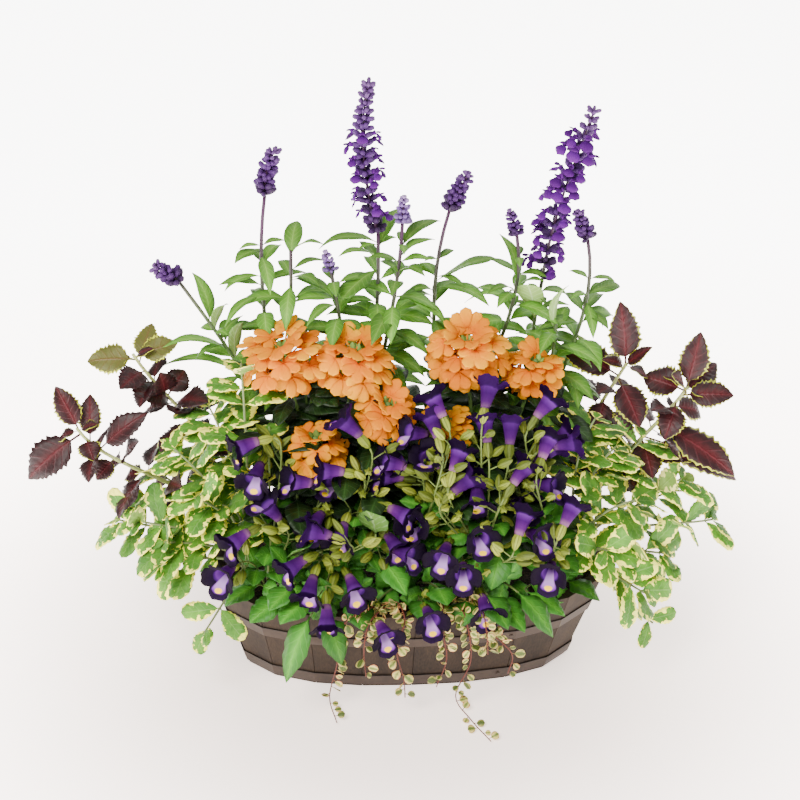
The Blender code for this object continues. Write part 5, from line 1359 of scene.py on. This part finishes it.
# Leaves narrower than this are the young ones, with the brightest edges
YOUNG_LEAF_WIDE = 0.0115
COLEUS_PAIRS = ((0.42, 0.9), (0.52, 1.0), (0.63, 1.05), (0.74, 1.0), (0.86, 0.8),
                (0.985, 0.5))
COLEUS_FACE = Vector((0, -0.6, 0.8))

for plant, crown, end, leaves in COLEUS_PLANTS:
    growth = Growth(plant, COLEUS_SKIN, COLEUS_BACK, COLEUS_BARK)
    crown_foot(growth, crown, COLEUS_BARK)
    end = Vector(end)
    out = Vector((end.x - crown[0], 0, 0)).normalized()
    path = stem_path(crown_point(crown, end), end, (out * 0.5 + UP).normalized())
    growth.stalk(path, COLEUS_STALK, COLEUS_BARK, 8)
    plain = LEFT_TONE if "left" in plant else RIGHT_TONE
    for height, tip, half_width in leaves:
        tone = YOUNG_TONE if half_width < YOUNG_LEAF_WIDE else plain
        if tip in OLIVE_LEAVES:
            tone = OLIVE_TONE
        leaf_to(growth, COLEUS_LEAF_FORM, path, height, Vector(tip), half_width * 1.12, 38,
                COLEUS_FACE, tone)
    for k, (share, size) in enumerate(COLEUS_PAIRS):
        leaf_pair(growth, growth.draw, COLEUS_LEAF_FORM, path, share, 75 * k, 20,
                  (0.048 * size, 0.0145 * size), 42, 0.25,
                  YOUNG_TONE if share > 0.9 else plain * 0.7)
    growth.done(plant + "_leaves", plant)


# Wire vine

VINE_STALK = (0.0007, 0.0005)
PETIOLE = (0.0003, 0.0002)
VINE_LEAF = (0.0095, 0.0046)
# A trailer lies flat below the first height and its leaves crowd on the rim above the second
GROUND_LEVEL = 0.012
RIM_LEVEL = 0.085


def smooth_route(points, spacing):
    """A smooth curve through the points, as a point about every spacing"""
    ends = [points[0] * 2 - points[1]] + points + [points[-1] * 2 - points[-2]]
    route = []
    for a, b, c, d in zip(ends, ends[1:], ends[2:], ends[3:]):
        steps = max(1, round((c - b).length / spacing))
        route += bezier(b, b + (c - a) / 6, c - (d - b) / 6, c, steps)[:-1]
    return route + [points[-1]]


def vine_leaf(growth, point, axis):
    """A small round leaf on its petiole, on either side of the trailer"""
    draw = growth.draw
    flat = point.z < GROUND_LEVEL
    side, other = side_axes(axis, UP if flat else Vector((0, -1, 0)))
    out = side * draw.choice((-1, 1)) * draw.uniform(0.6, 1.2)
    lift = draw.uniform(0.10, 0.35) if flat else draw.uniform(0.2, 1.2)
    direction = (out + axis * draw.uniform(-0.3, 0.7) + other * lift).normalized()
    face = (UP - Vector((0, 0.5, 0)) if flat else
            other + Vector([draw.uniform(-0.7, 0.7) for _ in range(3)]) + UP * 0.3)
    face = (face - direction * face.dot(direction)).normalized()
    size = draw.uniform(0.60, 1.05)
    growth.stalk([point + direction * (0.0011 * k) for k in range(4)], PETIOLE, VINE_BARK, 4)
    growth.leaf(VINE_LEAF_FORM, point, direction, face, VINE_LEAF[0] * size * 1.35,
                VINE_LEAF[1] * size, 14, VINE_SKIN)


for plant, crown, routes in VINE_PLANTS:
    growth = Growth(plant, VINE_SKIN, VINE_BACK, VINE_BARK)
    draw = growth.draw
    crown_foot(growth, crown, VINE_BARK)
    for route in routes:
        points = smooth_route([crown_point(crown, route[0])] + [Vector(p) for p in route],
                              0.006)
        growth.stalk(points, VINE_STALK, VINE_BARK)
        total = sum((b - a).length for a, b in zip(points, points[1:]))
        gone = 0.012
        while gone < total:
            point, axis = along(points, gone / total * 0.99)
            crowded = point.z > RIM_LEVEL
            gone += draw.uniform(0.0020, 0.0040) if crowded else draw.uniform(0.0060, 0.0125)
            vine_leaf(growth, point, axis)
    growth.done(plant + "_trailers", plant)


# The tub and its soil

def dressed_copy(name, node, look, bevel, tone=0.0):
    """A node's own shape with softened edges"""
    mesh = bmesh.new()
    mesh.from_mesh(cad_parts[node].data)
    bmesh.ops.remove_doubles(mesh, verts=mesh.verts, dist=1e-6)
    bmesh.ops.dissolve_limit(mesh, angle_limit=math.radians(1), verts=mesh.verts,
                             edges=mesh.edges)
    sharp = [edge for edge in mesh.edges
             if edge.is_manifold and edge.calc_face_angle(0) > math.radians(25)]
    bmesh.ops.bevel(mesh, geom=sharp, offset=bevel, affect="EDGES", segments=2, profile=0.5,
                    material=-1)
    layer = mesh.verts.layers.float.new("tone")
    for vert in mesh.verts:
        vert[layer] = tone
    hand_over(object_from(mesh, name, (look,)), node)


WOOD_BEVEL = 0.0006
STRAP_BEVEL = 0.0003
board_tones = random.Random(3)
for number in range(1, 21):
    dressed_copy("stave_board_%02d" % number, "stave_%02d" % number, STAVE_WOOD,
                 WOOD_BEVEL, board_tones.uniform(-0.5, 0.6))
dressed_copy("tub_floor", "base_board", STAVE_WOOD, WOOD_BEVEL)
for hoop in ("hoop_upper", "hoop_lower"):
    dressed_copy(hoop + "_strap", hoop, STRAP, STRAP_BEVEL)

SOIL_THICKNESS = 0.003
CRUMBS = 420


def soil_top(growth):
    """The uneven top of the compost, with crumbs on it"""
    low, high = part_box("soil")
    middle, half = (low + high) / 2, (high - low) / 2

    def on_oval(u, v, reach):
        """From a square to the tub's rounded oval, up to a share of the way to its wall"""
        x, y = u * math.sqrt(1 - v * v / 2), v * math.sqrt(1 - u * u / 2)
        x, y = x * (1 + 0.06 * (x * y) ** 2), y * (1 + 0.06 * (x * y) ** 2)
        return middle.x + x * half.x * reach, middle.y + y * half.y * reach

    def height(x, y):
        return high.z + 0.0022 + 0.0030 * noise.noise(Vector((x * 60, y * 60, 0.0)))

    def place(across, along_it):
        x, y = on_oval(across, along_it * 2 - 1, 0.985)
        return Vector((x, y, height(x, y)))
    growth.sheet(growth.thin, 90, 50, place, COMPOST, 0.5)
    draw = growth.draw
    for _ in range(CRUMBS):
        x, y = on_oval(draw.uniform(-0.95, 0.95), draw.uniform(-0.95, 0.95), 0.97)
        size = draw.uniform(0.0009, 0.0028)
        made = bmesh.ops.create_icosphere(growth.round, subdivisions=1, radius=size)["verts"]
        squash = Matrix.Diagonal((1, draw.uniform(0.6, 1.0), draw.uniform(0.5, 0.9)))
        spin = Matrix.Rotation(draw.uniform(0, 6.3), 3, "Z")
        for vert in made:
            vert.co = spin @ squash @ vert.co + Vector((x, y, height(x, y) + size * 0.3))


soil = Growth(5, COMPOST, COMPOST)
soil_top(soil)
soil.done("soil_surface", None, SOIL_THICKNESS)
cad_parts["soil"].data.materials.clear()
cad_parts["soil"].data.materials.append(COMPOST)


# Floor, light and camera

def pale_floor():
    """A plain pale floor, faintly pink round the tub as painted shade and whiter further out.
    It glows softly as painted light, more so with distance, so that it meets the pale backdrop
    without a line; the weaker glow near the tub is painted shade round it."""
    made, tree, shader = material("pale_floor", 0.9)
    place = add(tree, "TexCoord").outputs["Object"]
    away = add(tree, "VectorMath", place, operation="LENGTH").outputs["Value"]
    # Pinker near the tub: painted shade round it
    shown = add(tree, "ValToRGB", add(tree, "MapRange", away, 0.2, 1.2),
                stops=((0.0, "f6e6de"), (1.0, "fefcfa")))
    tree.links.new(shown.outputs[0], shader.inputs["Base Color"])
    tree.links.new(shown.outputs[0], shader.inputs["Emission Color"])
    # Weaker glow near the tub: painted shade round it
    glow = add(tree, "MapRange", away, 0.16, 0.65, 1.7, 8.0, interpolation_type="SMOOTHSTEP")
    tree.links.new(glow.outputs[0], shader.inputs["Emission Strength"])
    return made


FLOOR_HALF = 6
ground = bmesh.new()
bmesh.ops.create_grid(ground, x_segments=1, y_segments=1, size=FLOOR_HALF)
floor = object_from(ground, "floor", (pale_floor(),))

world = bpy.data.worlds.new("studio")
world.use_nodes = True
backdrop = world.node_tree.nodes["Background"].inputs
backdrop["Color"].default_value = colour("fffdfb")
backdrop["Strength"].default_value = 0.7
bpy.context.scene.world = world


def soft_light(name, place, target, size, power, tint):
    """A square area light at a place, turned to a target"""
    lamp = bpy.data.lights.new(name, "AREA")
    lamp.size = size
    lamp.energy = power
    lamp.color = colour(tint)[:3]
    holder = bpy.data.objects.new(name, lamp)
    holder.location = place
    holder.rotation_euler = (Vector(target) - Vector(place)).to_track_quat("-Z", "Y").to_euler()
    bpy.context.scene.collection.objects.link(holder)


soft_light("key_light", (-0.9, -1.3, 1.9), (0, 0, 0.25), 1.0, 86, "fffaf4")
soft_light("back_light", (0.9, 1.2, 1.6), (0, 0, 0.3), 1.2, 26, "ffffff")

# The camera stands in front, a little to the left, and looks down on the planter
EYE = Vector((-0.1177, -1.3399, 1.014))
yaw, pitch, roll = math.radians(4.55), math.radians(28.64), math.radians(1.15)
camera = bpy.data.cameras.new("camera")
camera.sensor_width = 36
camera.lens = 72.7
ahead = Vector((math.sin(yaw) * math.cos(pitch), math.cos(yaw) * math.cos(pitch),
                -math.sin(pitch)))
right = ahead.cross(UP).normalized()
above = right.cross(ahead)
rolled_right, rolled_above = raised(right, above, roll)
pose = Matrix((rolled_right, rolled_above, -ahead)).transposed().to_4x4()
pose.translation = EYE
eye = bpy.data.objects.new("camera", camera)
eye.matrix_world = pose
bpy.context.scene.collection.objects.link(eye)
bpy.context.scene.camera = eye
